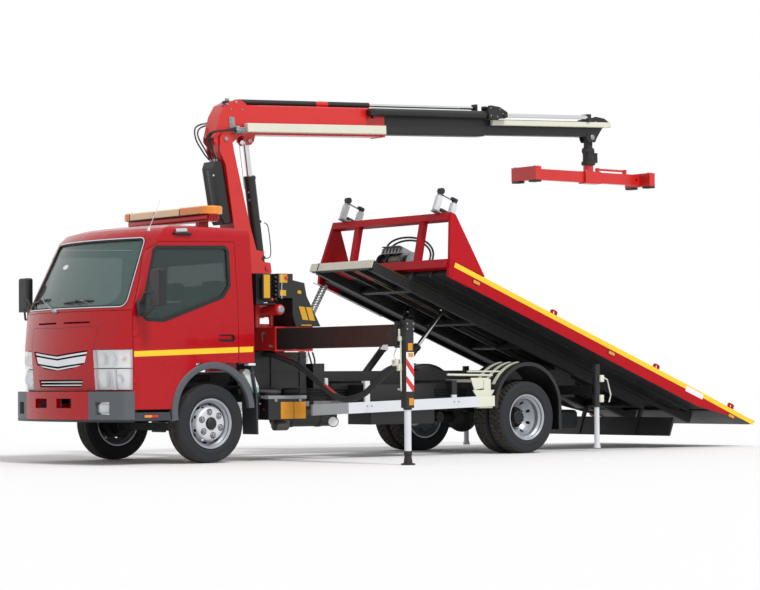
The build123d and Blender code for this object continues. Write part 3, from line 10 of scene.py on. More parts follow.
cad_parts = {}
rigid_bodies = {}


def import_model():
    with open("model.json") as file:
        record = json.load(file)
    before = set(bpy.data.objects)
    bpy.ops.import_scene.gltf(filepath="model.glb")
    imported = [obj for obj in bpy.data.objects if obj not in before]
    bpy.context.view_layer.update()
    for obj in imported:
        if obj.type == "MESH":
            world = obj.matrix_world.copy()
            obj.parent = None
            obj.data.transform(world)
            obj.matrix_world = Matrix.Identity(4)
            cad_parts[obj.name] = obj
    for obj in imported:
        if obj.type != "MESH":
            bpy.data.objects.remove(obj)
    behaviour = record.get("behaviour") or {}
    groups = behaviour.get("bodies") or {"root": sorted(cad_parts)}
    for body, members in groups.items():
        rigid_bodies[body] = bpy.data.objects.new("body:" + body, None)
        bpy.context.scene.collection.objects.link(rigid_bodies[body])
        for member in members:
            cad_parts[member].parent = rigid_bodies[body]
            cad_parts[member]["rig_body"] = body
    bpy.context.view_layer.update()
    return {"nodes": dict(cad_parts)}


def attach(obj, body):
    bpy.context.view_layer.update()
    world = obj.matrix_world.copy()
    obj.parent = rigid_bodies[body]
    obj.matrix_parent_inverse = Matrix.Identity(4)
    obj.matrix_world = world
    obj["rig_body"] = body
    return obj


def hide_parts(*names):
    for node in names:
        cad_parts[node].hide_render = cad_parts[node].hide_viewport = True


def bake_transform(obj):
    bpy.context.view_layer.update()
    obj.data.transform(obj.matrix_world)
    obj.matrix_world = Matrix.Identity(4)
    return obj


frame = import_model()

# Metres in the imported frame: +X forward, +Y the vehicle's left, +Z up, ground at 0.
# Lengthwise places are counted from the front axle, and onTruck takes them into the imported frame.
axleX = 3.015
bed = {"pivot": (-4.95, 0.9), "tilt": 21.0}  # tilt in degrees
boom = {"pivot": (-0.74, 3.19), "rise": 2.4}
hands = (("left", 1), ("right", -1))


def ahead(x):
    return axleX + x


def onBed(points):
    # local x runs up the bed, z stands on it, about the tilt pivot
    points = np.asarray(points, float).reshape(-1, 3)
    turn = math.radians(bed["tilt"])
    x, y, z = points.T
    return np.stack([
        ahead(bed["pivot"][0]) + x * math.cos(turn) - z * math.sin(turn),
        y,
        bed["pivot"][1] + x * math.sin(turn) + z * math.cos(turn),
    ], 1)


def onBoom(points):
    # local x runs out along the boom, y to the vehicle's right, z up from its pivot
    points = np.asarray(points, float).reshape(-1, 3)
    turn = math.radians(boom["rise"])
    x, y, z = points.T
    return np.stack([
        ahead(boom["pivot"][0]) - x * math.cos(turn) + z * math.sin(turn),
        -y,
        boom["pivot"][1] + x * math.sin(turn) + z * math.cos(turn),
    ], 1)


def onTruck(points):
    # places counted from the front axle
    points = np.asarray(points, float).reshape(-1, 3)
    return points + [axleX, 0, 0]


def at(x, y, z):
    # one place counted from the front axle
    return onTruck([(x, y, z)])[0]


def span(hand, near, far):
    # two distances from the middle, as low and high y on the side that hand gives
    return sorted((hand * near, hand * far))


# colour and node helpers
def hexColour(text):
    values = [int(text[i:i + 2], 16) / 255 for i in (1, 3, 5)]
    linear = [v / 12.92 if v <= 0.04045 else ((v + 0.055) / 1.055) ** 2.4 for v in values]
    return (*linear, 1.0)


def addNode(tree, kind, links=None, **settings):
    # settings name a node property or an input; links name an input and the socket that feeds it
    node = tree.nodes.new(kind)
    for key, value in settings.items():
        if hasattr(node, key):
            setattr(node, key, value)
        else:
            node.inputs[key.replace("_", " ")].default_value = value
    for key, socket in (links or {}).items():
        tree.links.new(socket, node.inputs[key])
    return node


def finish(name, colour, roughness, metallic=0.0, shade=None, mottle=0.25, grit=0.0, gritSize=0.004,
    wear=None, coat=0.0, ior=1.5):
    # one solid finish: broad colour mottle, rough patches, fine grit as bump, dirt or bare metal in patches
    material = bpy.data.materials.new(name)
    material.use_nodes = True
    tree = material.node_tree
    tree.nodes.clear()
    place = addNode(tree, "ShaderNodeTexCoord").outputs["Object"]
    broad = addNode(tree, "ShaderNodeTexNoise", {"Vector": place}, Scale=1 / mottle, Detail=6.0)
    blend = addNode(tree, "ShaderNodeMix", {"Factor": broad.outputs["Fac"]}, data_type="RGBA")
    blend.inputs["A"].default_value = hexColour(colour)
    blend.inputs["B"].default_value = hexColour(shade or colour)
    colourOut = blend.outputs["Result"]
    fine = addNode(tree, "ShaderNodeTexNoise", {"Vector": place}, Scale=1 / gritSize, Detail=3.0)
    rough = addNode(tree, "ShaderNodeMapRange", {"Value": broad.outputs["Fac"]})
    rough.inputs["To Min"].default_value = max(0.02, roughness - 0.06)
    rough.inputs["To Max"].default_value = roughness + 0.08
    roughOut = rough.outputs["Result"]
    if wear:
        # worn or dusty patches, densest where two noises agree
        patch = addNode(tree, "ShaderNodeTexNoise", {"Vector": place}, Scale=1 / wear["size"],
            Detail=8.0, Roughness=0.7)
        mask = addNode(tree, "ShaderNodeMapRange", {"Value": patch.outputs["Fac"]})
        mask.inputs["From Min"].default_value = wear["from"]
        mask.inputs["From Max"].default_value = wear["from"] + 0.12
        mask.inputs["To Max"].default_value = wear["amount"]
        worn = addNode(tree, "ShaderNodeMix", {"Factor": mask.outputs["Result"], "A": colourOut},
            data_type="RGBA")
        worn.inputs["B"].default_value = hexColour(wear["colour"])
        colourOut = worn.outputs["Result"]
    surface = addNode(tree, "ShaderNodeBsdfPrincipled", {"Base Color": colourOut, "Roughness": roughOut})
    surface.inputs["Metallic"].default_value = metallic
    surface.inputs["IOR"].default_value = ior
    surface.inputs["Coat Weight"].default_value = coat
    surface.inputs["Coat Roughness"].default_value = 0.04
    if grit:
        bump = addNode(tree, "ShaderNodeBump", {"Height": fine.outputs["Fac"]}, Distance=grit)
        bump.inputs["Strength"].default_value = 0.6
        tree.links.new(bump.outputs["Normal"], surface.inputs["Normal"])
    out = addNode(tree, "ShaderNodeOutputMaterial", {"Surface": surface.outputs["BSDF"]})
    out.is_active_output = True
    material.diffuse_color = hexColour(colour)
    return material


def glassFinish(name, tint, roughness=0.02, density=0.75):
    # tinted safety glass: mirror-like at a slant, otherwise a dark tint that lets part of the light by
    material = bpy.data.materials.new(name)
    material.use_nodes = True
    tree = material.node_tree
    tree.nodes.clear()
    place = addNode(tree, "ShaderNodeTexCoord").outputs["Object"]
    film = addNode(tree, "ShaderNodeTexNoise", {"Vector": place}, Scale=3.0, Detail=4.0)
    dusty = addNode(tree, "ShaderNodeMapRange", {"Value": film.outputs["Fac"]})
    dusty.inputs["To Min"].default_value = roughness
    dusty.inputs["To Max"].default_value = roughness + 0.05
    surface = addNode(tree, "ShaderNodeBsdfPrincipled", {"Roughness": dusty.outputs["Result"]})
    surface.inputs["Base Color"].default_value = hexColour(tint)
    surface.inputs["IOR"].default_value = 1.52
    surface.inputs["Coat Weight"].default_value = 0.3
    surface.inputs["Alpha"].default_value = density
    out = addNode(tree, "ShaderNodeOutputMaterial", {"Surface": surface.outputs["BSDF"]})
    out.is_active_output = True
    material.diffuse_color = hexColour(tint)
    return material


finishes = {
    # two-pack enamel over primer on pressed steel: deep gloss with a soft orange peel
    "cabEnamel": finish("cabEnamelRed", "#b20610", 0.26, shade="#a60716", coat=0.25, ior=1.28,
        grit=0.0003, gritSize=0.006),
    # powder coat on the crane: brighter, a little flatter
    "craneCoat": finish("cranePowderRed", "#d3201b", 0.34, shade="#c41a18", coat=0.25, grit=0.0005,
        gritSize=0.004, wear={"size": 0.5, "from": 0.62, "amount": 0.25, "colour": "#8e1512"}),
    # workshop enamel on the bed's folded steel, chalked by weather
    "bedEnamel": finish("bedEnamelCrimson", "#b60814", 0.4, shade="#a30a1c", ior=1.25, grit=0.0005,
        wear={"size": 0.7, "from": 0.6, "amount": 0.3, "colour": "#8a1726"}),
    # black chassis paint: satin, with road dust in patches
    "chassisPaint": finish("chassisBlack", "#131416", 0.5, shade="#1b1c1e", grit=0.0006,
        wear={"size": 0.35, "from": 0.55, "amount": 0.3, "colour": "#37342f"}),
    # hot-rolled beam, oiled and rubbed brown by its slides
    "beamSteel": finish("rubbedBeamSteel", "#1c1614", 0.42, shade="#2a1d19", grit=0.0005, coat=0.1,
        wear={"size": 0.22, "from": 0.56, "amount": 0.55, "colour": "#4a3a33"}),
    # injection-moulded polypropylene trim: dark blue-grey, fine leather grain
    "trimPlastic": finish("mouldedTrimGrey", "#2b3036", 0.55, shade="#353a41", grit=0.0004,
        gritSize=0.0015),
    # the same moulding in a paler grey, for the bumper's corners
    "bumperPlastic": finish("bumperCornerGrey", "#4c5157", 0.5, shade="#575c62", grit=0.0004,
        gritSize=0.0015),
    # moulded polythene covers: black, an even satin
    "blackPlastic": finish("mouldedBlack", "#0f1011", 0.45, shade="#17181a", grit=0.0004, gritSize=0.0015),
    # window and windscreen seals: extruded rubber, matt
    "sealRubber": finish("extrudedRubber", "#0d0e10", 0.7, shade="#15171a"),
    # vulcanised sidewall rubber: matt blue-black, browned by dust in patches
    "tyreRubber": finish("tyreRubber", "#15181c", 0.78, shade="#202329", grit=0.0008, gritSize=0.003,
        wear={"size": 0.2, "from": 0.58, "amount": 0.4, "colour": "#3a3733"}),
    # tread rubber: pale brown specks in patches, partly road dust and partly painted glints, spread at
    # random over the tread
    "treadRubber": finish("treadRubber", "#222224", 0.85, shade="#39352e", mottle=0.05, grit=0.0008,
        gritSize=0.003, wear={"size": 0.05, "from": 0.5, "amount": 0.45, "colour": "#5b5242"}),
    # sprayed pressed plate: bright, with a soft shine
    "plateSilver": finish("hubPlateSilver", "#d9dbe0", 0.3, metallic=0.35, shade="#c9ccd3", coat=0.3),
    # stove-painted wheel steel
    "wheelSilver": finish("wheelSilverPaint", "#b3b7bd", 0.33, metallic=0.55, shade="#9ea3aa", coat=0.2,
        wear={"size": 0.08, "from": 0.62, "amount": 0.4, "colour": "#6b6a68"}),
    # hard chrome on ground rod: near mirror
    "rodChrome": finish("hardChrome", "#d5d7da", 0.12, metallic=1.0),
    # chrome on pressed trim: a little greyer than the rods
    "brightChrome": finish("platedChrome", "#dfe2e6", 0.1, metallic=1.0, shade="#c9ccd1"),
    # sprayed enamel on tube and guards: white, scuffed in patches
    "whitePaint": finish("guardWhitePaint", "#dcdfe3", 0.4, shade="#cfd3d8", grit=0.0004,
        wear={"size": 0.3, "from": 0.62, "amount": 0.3, "colour": "#a9a9a6"}),
    # the same enamel in grey
    "greyPaint": finish("guardGreyPaint", "#8c9091", 0.45, shade="#83878a", grit=0.0004),
    # sprayed enamel on folded steel: cream, stained in patches
    "creamPaint": finish("tubeCreamPaint", "#dfe0cf", 0.42, shade="#d3d4c2", grit=0.0004,
        wear={"size": 0.25, "from": 0.62, "amount": 0.4, "colour": "#a8a48f"}),
    # hot-dip zinc: pale, dull spangle
    "zinc": finish("hotDipZinc", "#a3a6a8", 0.45, metallic=0.7, shade="#8a8e92", mottle=0.03, grit=0.0004),
    # rolled steel left bare: dark, half dull
    "bareSteel": finish("bareSteel", "#6a6763", 0.42, metallic=0.85, shade="#59544f", mottle=0.06,
        grit=0.0004),
    # painted cast iron: black and rough, with brown dust in patches
    "castIron": finish("castIronBlack", "#17181a", 0.6, metallic=0.2, shade="#2a2623", grit=0.001,
        gritSize=0.005, wear={"size": 0.12, "from": 0.56, "amount": 0.5, "colour": "#3d322b"}),
    # prismatic acrylic: lamp lenses
    "amberLens": finish("amberAcrylic", "#e0790f", 0.18, shade="#f09a22", mottle=0.05, coat=0.5, ior=1.49),
    "redLens": finish("redAcrylic", "#c22312", 0.18, shade="#e0431d", mottle=0.05, coat=0.5, ior=1.49),
    "creamLens": finish("creamAcrylic", "#efe3c0", 0.18, shade="#f3d9a0", mottle=0.08, coat=0.5, ior=1.49),
    "whiteLens": finish("opalAcrylic", "#eef0f2", 0.12, shade="#dfe4e8", mottle=0.05, coat=0.6, ior=1.49),
    # glass-bead tape, seen by day
    "yellowTape": finish("beadTapeYellow", "#f2c20c", 0.45, shade="#f7cf2e", mottle=0.08, grit=0.0003,
        gritSize=0.002),
    "redTape": finish("beadTapeRed", "#d42b2b", 0.45, shade="#c82428", mottle=0.08, grit=0.0003,
        gritSize=0.002),
    "whiteTape": finish("beadTapeWhite", "#e9ebed", 0.45, shade="#dfe1e4", mottle=0.08, grit=0.0003,
        gritSize=0.002),
    # printed vinyl film: flat, even colour
    "panelOrange": finish("panelOrangeFilm", "#dd9419", 0.5, shade="#c98713", mottle=0.1),
    "panelYellow": finish("panelYellowFilm", "#d9a514", 0.5, shade="#c8961a", mottle=0.1),
    # extruded hose cover: satin black, fine grain
    "hoseRubber": finish("hoseRubber", "#111214", 0.55, shade="#1b1c1f", grit=0.0004, gritSize=0.002),
    # blown polythene: milky, softly shining
    "bottlePlastic": finish("milkyPolythene", "#dfe6e4", 0.35, shade="#cfdad6", ior=1.51),
    # washer fluid behind the polythene: pale blue-green
    "fluidTeal": finish("washerFluidTeal", "#8fc4b4", 0.3, shade="#7db5a6"),
    # woven cloth: matt grey, its weave left as a fine grain
    "seatCloth": finish("seatCloth", "#3c3f44", 0.85, shade="#484c52", grit=0.0008, gritSize=0.002),
    # moulded vinyl: mid grey, soft grain
    "dashPlastic": finish("dashVinyl", "#5d6064", 0.6, shade="#6a6d71", grit=0.0004, gritSize=0.002),
    # laid wire rope under grease: dull brown-grey
    "ropeSteel": finish("greasedRopeSteel", "#77726a", 0.45, metallic=0.6, shade="#5e574c", mottle=0.01),
    # rubbed steel edge: brown with a bronze shine
    "bronzeEdge": finish("rubbedBronzeEdge", "#7a6232", 0.4, metallic=0.5, shade="#564421", mottle=0.04),
    # rolled deck plate: grey, worn paler in patches
    "deckPlate": finish("deckPlateGrey", "#53575b", 0.5, metallic=0.35, shade="#3f4246", mottle=0.4,
        grit=0.001, wear={"size": 0.3, "from": 0.55, "amount": 0.5, "colour": "#7b7e80"}),
    # toughened side glass: deep green tint
    "windowGlass": glassFinish("tintedSideGlass", "#1d3634", density=0.62),
    # laminated windscreen: paler green tint
    "screenGlass": glassFinish("tintedWindscreen", "#4c6c69", density=0.5),
    # clear moulded polycarbonate over the headlamps
    "lensGlass": glassFinish("clearLampLens", "#f4f6f8", density=0.35),
}
print("finishes ready", len(finishes))


# mesh helpers: every shape is an array of points and index faces
def newPiece(name, points, faces, finishName, body, slot=None, angle=35):
    mesh = bpy.data.meshes.new(name)
    mesh.from_pydata(np.asarray(points, float).tolist(), [], [list(map(int, f)) for f in faces])
    mesh.validate()
    piece = bpy.data.objects.new(name, mesh)
    bpy.context.scene.collection.objects.link(piece)
    smoothByAngle(piece, angle)
    mesh.materials.append(finishes[finishName])
    if isinstance(body, tuple):
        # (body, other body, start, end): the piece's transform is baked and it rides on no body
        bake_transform(piece)
    else:
        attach(piece, body)
    return piece


def smoothByAngle(piece, angle):
    shell = bmesh.new()
    shell.from_mesh(piece.data)
    bmesh.ops.recalc_face_normals(shell, faces=shell.faces)
    markEdges(shell, angle)
    shell.to_mesh(piece.data)
    shell.free()


def markEdges(shell, angle):
    for face in shell.faces:
        face.smooth = True
    for edge in shell.edges:
        edge.smooth = len(edge.link_faces) == 2 and edge.calc_face_angle(0) < math.radians(angle)


def joined(parts):
    # several (points, faces) pairs as one
    points, faces, count = [], [], 0
    for somePoints, someFaces in parts:
        points.append(np.asarray(somePoints, float))
        faces += [[i + count for i in face] for face in someFaces]
        count += len(somePoints)
    return np.concatenate(points), faces


def gridFaces(rows, cols, closeRows=False, closeCols=False):
    # quads of a rows x cols grid of points, wrapped where it closes
    i, j = np.meshgrid(np.arange(rows - (not closeRows)), np.arange(cols - (not closeCols)), indexing="ij")
    a = i * cols + j
    b = i * cols + (j + 1) % cols
    c = ((i + 1) % rows) * cols + (j + 1) % cols
    d = ((i + 1) % rows) * cols + j
    return np.stack([a, b, c, d], -1).reshape(-1, 4).tolist()


def sweep(profile, path, closed=False, up=(0, 0, 1), sizes=None):
    # the profile's (across, up) points stand square to the path at each of its points
    path, profile = np.asarray(path, float), np.asarray(profile, float)
    following, behind = np.roll(path, -1, 0), np.roll(path, 1, 0)
    if not closed:
        following[-1], behind[0] = path[-1], path[0]
    way = following - behind
    way /= np.linalg.norm(way, axis=1)[:, None]
    side = np.cross(way, up)
    side /= np.linalg.norm(side, axis=1)[:, None] + 1e-12
    top = np.cross(side, way)
    size = np.ones(len(path)) if sizes is None else np.asarray(sizes, float)
    points = path[:, None] + size[:, None, None] * (
        side[:, None] * profile[None, :, :1] + top[:, None] * profile[None, :, 1:])
    faces = gridFaces(len(path), len(profile), closed, True)
    if not closed:
        last = len(path) * len(profile)
        faces += [list(range(len(profile)))[::-1], list(range(last - len(profile), last))]
    return points.reshape(-1, 3), faces


def circle(radius, count=12):
    turn = np.linspace(0, 2 * np.pi, count, endpoint=False)
    return np.stack([radius * np.cos(turn), radius * np.sin(turn)], 1)


def roundedRectangle(width, height, radius, steps=4):
    turn = np.linspace(0, np.pi / 2, steps)
    corner = np.stack([np.cos(turn), np.sin(turn)], 1) * radius
    quarter = [(1, 1, 0), (-1, 1, 1), (-1, -1, 2), (1, -1, 3)]
    runs = []
    for sx, sy, n in quarter:
        spin = n * np.pi / 2
        turned = corner @ np.array([[math.cos(spin), math.sin(spin)], [-math.sin(spin), math.cos(spin)]])
        runs.append(turned + [sx * (width / 2 - radius), sy * (height / 2 - radius)])
    return np.concatenate(runs)


def block(low, high, edge=0.004):
    # a rounded rectangle carried from low x to high x, drawn in by a quarter round at both ends
    low, high = np.asarray(low, float), np.asarray(high, float)
    size, middle = high - low, (high + low) / 2
    edge = min(edge, size.min() * 0.45)
    turn = np.linspace(0, np.pi / 2, 3)
    drawn = edge * (1 - np.sin(turn))
    stations = np.concatenate([low[0] + edge * (1 - np.cos(turn)),
        high[0] - edge * (1 - np.cos(turn[::-1]))])
    insets = np.concatenate([drawn, drawn[::-1]])
    rings = [
        np.column_stack([
            np.full(16, x),
            roundedRectangle(size[1] - 2 * inset, size[2] - 2 * inset,
                max(edge - inset, 1e-4)) + middle[1:],
        ])
        for x, inset in zip(stations, insets)
    ]
    count = len(rings[0])
    faces = gridFaces(len(rings), count, False, True)
    last = len(rings) * count
    return np.concatenate(rings), faces + [list(range(count))[::-1], list(range(last - count, last))]


def tube(path, radius, sides=10, closed=False):
    return sweep(circle(radius, sides), path, closed, up=(0.13, 0.21, 0.97))


def turned(profile, origin, axis, count=32, start=(0, 0, 1)):
    # a profile of (radius, place along the axis), turned about the axis
    axis = np.asarray(axis, float) / np.linalg.norm(axis)
    first = np.cross(axis, start)
    if np.linalg.norm(first) < 1e-6:
        first = np.cross(axis, (1, 0, 0))
    first /= np.linalg.norm(first)
    second = np.cross(axis, first)
    spin = np.linspace(0, 2 * np.pi, count, endpoint=False)
    rim = np.cos(spin)[:, None] * first + np.sin(spin)[:, None] * second
    profile = np.asarray(profile, float)
    points = np.asarray(origin) + rim[:, None] * profile[None, :, :1] + axis * profile[None, :, 1:]
    faces = gridFaces(count, len(profile), True, False)
    rows = np.arange(count)
    if profile[0, 0] > 1e-6:
        faces.append((rows * len(profile)).tolist())
    if profile[-1, 0] > 1e-6:
        faces.append((rows * len(profile) + len(profile) - 1)[::-1].tolist())
    return points.reshape(-1, 3), faces


def boltHeads(places, axis, radius=0.011, height=0.008):
    # six-sided heads, one at each place, standing along axis
    base, faces = turned([(radius, 0), (radius, height * 0.8), (radius * 0.85, height)], (0, 0, 0), axis, 6)
    return joined([(base + place, faces) for place in np.asarray(places, float)])


def flatPlate(outline, normal, thick):
    # an outline of points in one plane, given a thickness along normal
    outline = np.asarray(outline, float)
    normal = np.asarray(normal, float) / np.linalg.norm(normal) * thick
    count = len(outline)
    rows = np.concatenate([outline, outline + normal])
    faces = gridFaces(2, count, False, True)
    return rows, faces + [list(range(count))[::-1], list(range(count, 2 * count))]


def skin(node, finishName, bevel=0.0, angle=32, name=None):
    # a copy of a CAD node with its triangles joined, flats made whole and edges eased
    source = frame["nodes"][node]
    shell = bmesh.new()
    shell.from_mesh(source.data)
    bmesh.ops.remove_doubles(shell, verts=shell.verts, dist=2e-5)
    bmesh.ops.dissolve_degenerate(shell, edges=shell.edges, dist=1e-5)
    bmesh.ops.dissolve_limit(shell, angle_limit=math.radians(0.4), verts=shell.verts, edges=shell.edges)
    markEdges(shell, angle)
    mesh = bpy.data.meshes.new(name or node + "Skin")
    shell.to_mesh(mesh)
    shell.free()
    piece = bpy.data.objects.new(name or node + "Skin", mesh)
    bpy.context.scene.collection.objects.link(piece)
    mesh.materials.append(finishes[finishName])
    if bevel:
        ease = piece.modifiers.new("easedEdges", "BEVEL")
        ease.width = bevel
        ease.segments = 2
        ease.limit_method = "ANGLE"
        ease.angle_limit = math.radians(angle)
        ease.harden_normals = False
    weigh = piece.modifiers.new("flatFacesLead", "WEIGHTED_NORMAL")
    weigh.keep_sharp = True
    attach(piece, source["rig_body"])
    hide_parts(node)
    return piece


def dress(node, finishName):
    # a CAD node kept as it is, with a better finish
    mesh = frame["nodes"][node].data
    mesh.materials.clear()
    mesh.materials.append(finishes[finishName])


def walls(low, high, place):
    # the six planes of a box given in one of the local frames, as (point, outward normal)
    origin = place([0, 0, 0])[0]
    ways = [place(row)[0] - origin for row in np.eye(3)]
    return [(Vector(place(corner)[0]), Vector(way * sign)) for corner, sign in ((low, -1), (high, 1))
        for way in ways]


def paint(piece, finishName, low, high, place=onTruck):
    # cuts a skin along a box's planes and gives the faces inside it another finish
    shell = bmesh.new()
    shell.from_mesh(piece.data)
    box = walls(low, high, place)
    for point, normal in box:
        bmesh.ops.bisect_plane(shell, geom=[*shell.verts, *shell.edges, *shell.faces], dist=1e-5,
            plane_co=point, plane_no=normal)
    names = [material.name for material in piece.data.materials]
    if finishes[finishName].name not in names:
        piece.data.materials.append(finishes[finishName])
        names.append(finishes[finishName].name)
    number = names.index(finishes[finishName].name)
    for face in shell.faces:
        middle = face.calc_center_median()
        if all((middle - point).dot(normal) < 0 for point, normal in box):
            face.material_index = number
    shell.to_mesh(piece.data)
    shell.free()


trees = {}


def onto(node, starts, way):
    # where lines from the starts along way first meet a CAD node, and its outward normals there
    if node not in trees:
        mesh = frame["nodes"][node].data
        trees[node] = BVHTree.FromPolygons([v.co for v in mesh.vertices], [p.vertices
            for p in mesh.polygons])
    way = Vector(way).normalized()
    places, normals = [], []
    for start in np.asarray(starts, float).reshape(-1, 3):
        place, normal, _, _ = trees[node].ray_cast(Vector(start), way)
        if place is None:
            place, normal, _, _ = trees[node].find_nearest(Vector(start))
        places.append(place)
        normals.append(normal if normal.dot(way) < 0 else -normal)
    return np.array(places), np.array(normals)


def sheet(points, normals, thick, sink=0.001):
    # a grid of points given a thickness along its normals, closed at its rim
    rows, cols = points.shape[:2]
    top, low = points + normals * thick, points - normals * sink
    loops = np.concatenate([top, low[:, ::-1]], 1)
    faces = gridFaces(rows, 2 * cols, False, True)
    for row, flip in ((0, True), (rows - 1, False)):
        for n in range(cols - 1):
            base = row * 2 * cols
            quad = [base + n, base + n + 1, base + 2 * cols - 2 - n, base + 2 * cols - 1 - n]
            faces.append(quad[::-1] if flip else quad)
    return loops.reshape(-1, 3), faces


def cornerGrid(corners, rows, cols):
    # rows x cols points spread evenly between four corners
    a, b, c, d = np.asarray(corners, float)
    u = np.linspace(0, 1, rows)[:, None, None]
    v = np.linspace(0, 1, cols)[None, :, None]
    return a * (1 - u) * (1 - v) + b * (1 - u) * v + c * u * v + d * u * (1 - v)


def laid(node, corners, way, rows, cols, thick=0.0015):
    # a four-cornered film laid on a CAD node's surface, seen along way
    grid = cornerGrid(corners, rows, cols)
    places, normals = onto(node, grid.reshape(-1, 3), way)
    return sheet(places.reshape(rows, cols, 3), normals.reshape(rows, cols, 3), thick)


def roundCorners(outline, radius, steps=5):
    # a closed flat outline with an arc tangent to both sides at each corner
    outline = np.asarray(outline, float)
    rounded = []
    for n, corner in enumerate(outline):
        back, on = outline[n - 1] - corner, outline[(n + 1) % len(outline)] - corner
        backLength, onLength = np.linalg.norm(back), np.linalg.norm(on)
        back, on = back / backLength, on / onLength
        half = math.acos(np.clip(back @ on, -1, 1)) / 2
        reach = min(radius / math.tan(half), 0.49 * backLength, 0.49 * onLength)
        arc = reach * math.tan(half)
        centre = corner + (back + on) / np.linalg.norm(back + on) * arc / math.sin(half)
        first, last = (corner + side * reach - centre for side in (back, on))
        begin = math.atan2(first[1], first[0])
        turn = (math.atan2(last[1], last[0]) - begin + math.pi) % (2 * math.pi) - math.pi
        angles = begin + turn * np.linspace(0, 1, steps)
        rounded.append(centre + arc * np.stack([np.cos(angles), np.sin(angles)], 1))
    return np.concatenate(rounded)


def grown(outline, amount):
    # a closed flat outline moved outwards
    outline = np.asarray(outline, float)
    way = np.roll(outline, -1, 0) - np.roll(outline, 1, 0)
    normal = np.stack([way[:, 1], -way[:, 0]], 1) / (np.linalg.norm(way, axis=1)[:, None] + 1e-12)
    x, y = outline.T
    turn = np.sign(np.sum(x * np.roll(y, -1) - y * np.roll(x, -1)))
    return outline + normal * amount * turn


def dense(path, step, closed=False):
    # the same path with points no further apart than step
    path = np.asarray(path, float)
    nexts = np.roll(path, -1, 0) if closed else path[1:]
    runs = []
    for start, end in zip(path, nexts):
        count = max(1, math.ceil(np.linalg.norm(end - start) / step))
        runs.append(start + (end - start) * np.linspace(0, 1, count, endpoint=False)[:, None])
    if not closed:
        runs.append(path[-1:])
    return np.concatenate(runs)


def strip(low, high):
    # a flat profile from (across, up) to (across, up)
    return [(low[0], low[1]), (high[0], low[1]), (high[0], high[1]), (low[0], high[1])]


def curved(points, steps=8):
    # a smooth path through its points: one cubic between each two, after Catmull and Rom
    points = np.asarray(points, float)
    ends = np.concatenate([[2 * points[0] - points[1]], points, [2 * points[-1] - points[-2]]])
    t = np.linspace(0, 1, steps, endpoint=False)[:, None]
    runs = []
    for a, b, c, d in zip(ends, ends[1:], ends[2:], ends[3:]):
        runs.append(0.5 * (2 * b + (c - a) * t + (2 * a - 5 * b + 4 * c - d) * t ** 2
            + (3 * b - a - 3 * c + d) * t ** 3))
    return np.concatenate([*runs, points[-1:]])


def group(name, parts, finishName, body, slot=None, angle=35):
    # several parts as one piece
    points, faces = joined(parts)
    return newPiece(name, points, faces, finishName, body, slot, angle)


def boxesOn(place, rows, edge=0.004):
    # rounded blocks given by their low and high corners in one of the local frames
    parts = []
    for low, high in rows:
        points, faces = block(low, high, edge)
        parts.append((place(points), faces))
    return parts


# camera, floor and light
camera = {
    "place": (ahead(13.1016), 20.249, 0.7923),
    "yaw": 0.6649, "pitch": 0.034, "roll": -0.0078,  # radians
    "focal": 2451.48, "frameWidth": 760,  # pixels
}


def makeCamera():
    yaw, pitch, roll = camera["yaw"], camera["pitch"], camera["roll"]
    look = np.array([-math.sin(yaw) * math.cos(pitch), -math.cos(yaw) * math.cos(pitch), math.sin(pitch)])
    right = np.cross(look, (0, 0, 1))
    right /= np.linalg.norm(right)
    up = np.cross(right, look)
    rolledRight = right * math.cos(roll) + up * math.sin(roll)
    rolledUp = up * math.cos(roll) - right * math.sin(roll)
    data = bpy.data.cameras.new("camera")
    data.sensor_width = 36
    data.lens = camera["focal"] / camera["frameWidth"] * data.sensor_width
    data.clip_end = 200
    eye = bpy.data.objects.new("camera", data)
    bpy.context.scene.collection.objects.link(eye)
    turn = Matrix([[*row] for row in np.column_stack([rolledRight, rolledUp, -look])]).to_4x4()
    eye.matrix_world = Matrix.Translation(camera["place"]) @ turn
    bpy.context.scene.camera = eye


def makeStage():
    material = bpy.data.materials.new("paleFloor")
    material.use_nodes = True
    tree = material.node_tree
    surface = tree.nodes["Principled BSDF"]
    surface.inputs["Base Color"].default_value = (0.92, 0.92, 0.92, 1)
    surface.inputs["Roughness"].default_value = 0.9
    half = 60.0
    mesh = bpy.data.meshes.new("floor")
    mesh.from_pydata([(-half, -half, 0), (half, -half, 0), (half, half, 0), (-half, half, 0)], [],
        [(0, 1, 2, 3)])
    mesh.materials.append(material)
    floor = bpy.data.objects.new("floor", mesh)
    bpy.context.scene.collection.objects.link(floor)


def makeLight():
    world = bpy.data.worlds.new("paleRoom")
    bpy.context.scene.world = world
    world.use_nodes = True
    tree = world.node_tree
    tree.nodes.clear()
    path = addNode(tree, "ShaderNodeLightPath")
    seen = addNode(tree, "ShaderNodeMath", {0: path.outputs["Is Camera Ray"],
        1: path.outputs["Is Glossy Ray"]}, operation="MAXIMUM")
    seen = addNode(tree, "ShaderNodeMath", {0: seen.outputs[0], 1: path.outputs["Is Transmission Ray"]},
        operation="MAXIMUM")
    ambient = addNode(tree, "ShaderNodeBackground", Color=(1, 1, 1, 1), Strength=0.62)
    white = addNode(tree, "ShaderNodeBackground", Color=(1, 1, 1, 1), Strength=1.0)
    both = addNode(tree, "ShaderNodeMixShader", {0: seen.outputs[0], 1: ambient.outputs[0],
        2: white.outputs[0]})
    addNode(tree, "ShaderNodeOutputWorld", {"Surface": both.outputs[0]})
    # a broad sun from ahead and to the left, high up
    lamp = bpy.data.lights.new("softSun", "SUN")
    lamp.energy = 1.9
    lamp.angle = math.radians(12)
    sun = bpy.data.objects.new("softSun", lamp)
    sun.rotation_euler = (math.radians(-38), math.radians(18), math.radians(20))
    bpy.context.scene.collection.objects.link(sun)


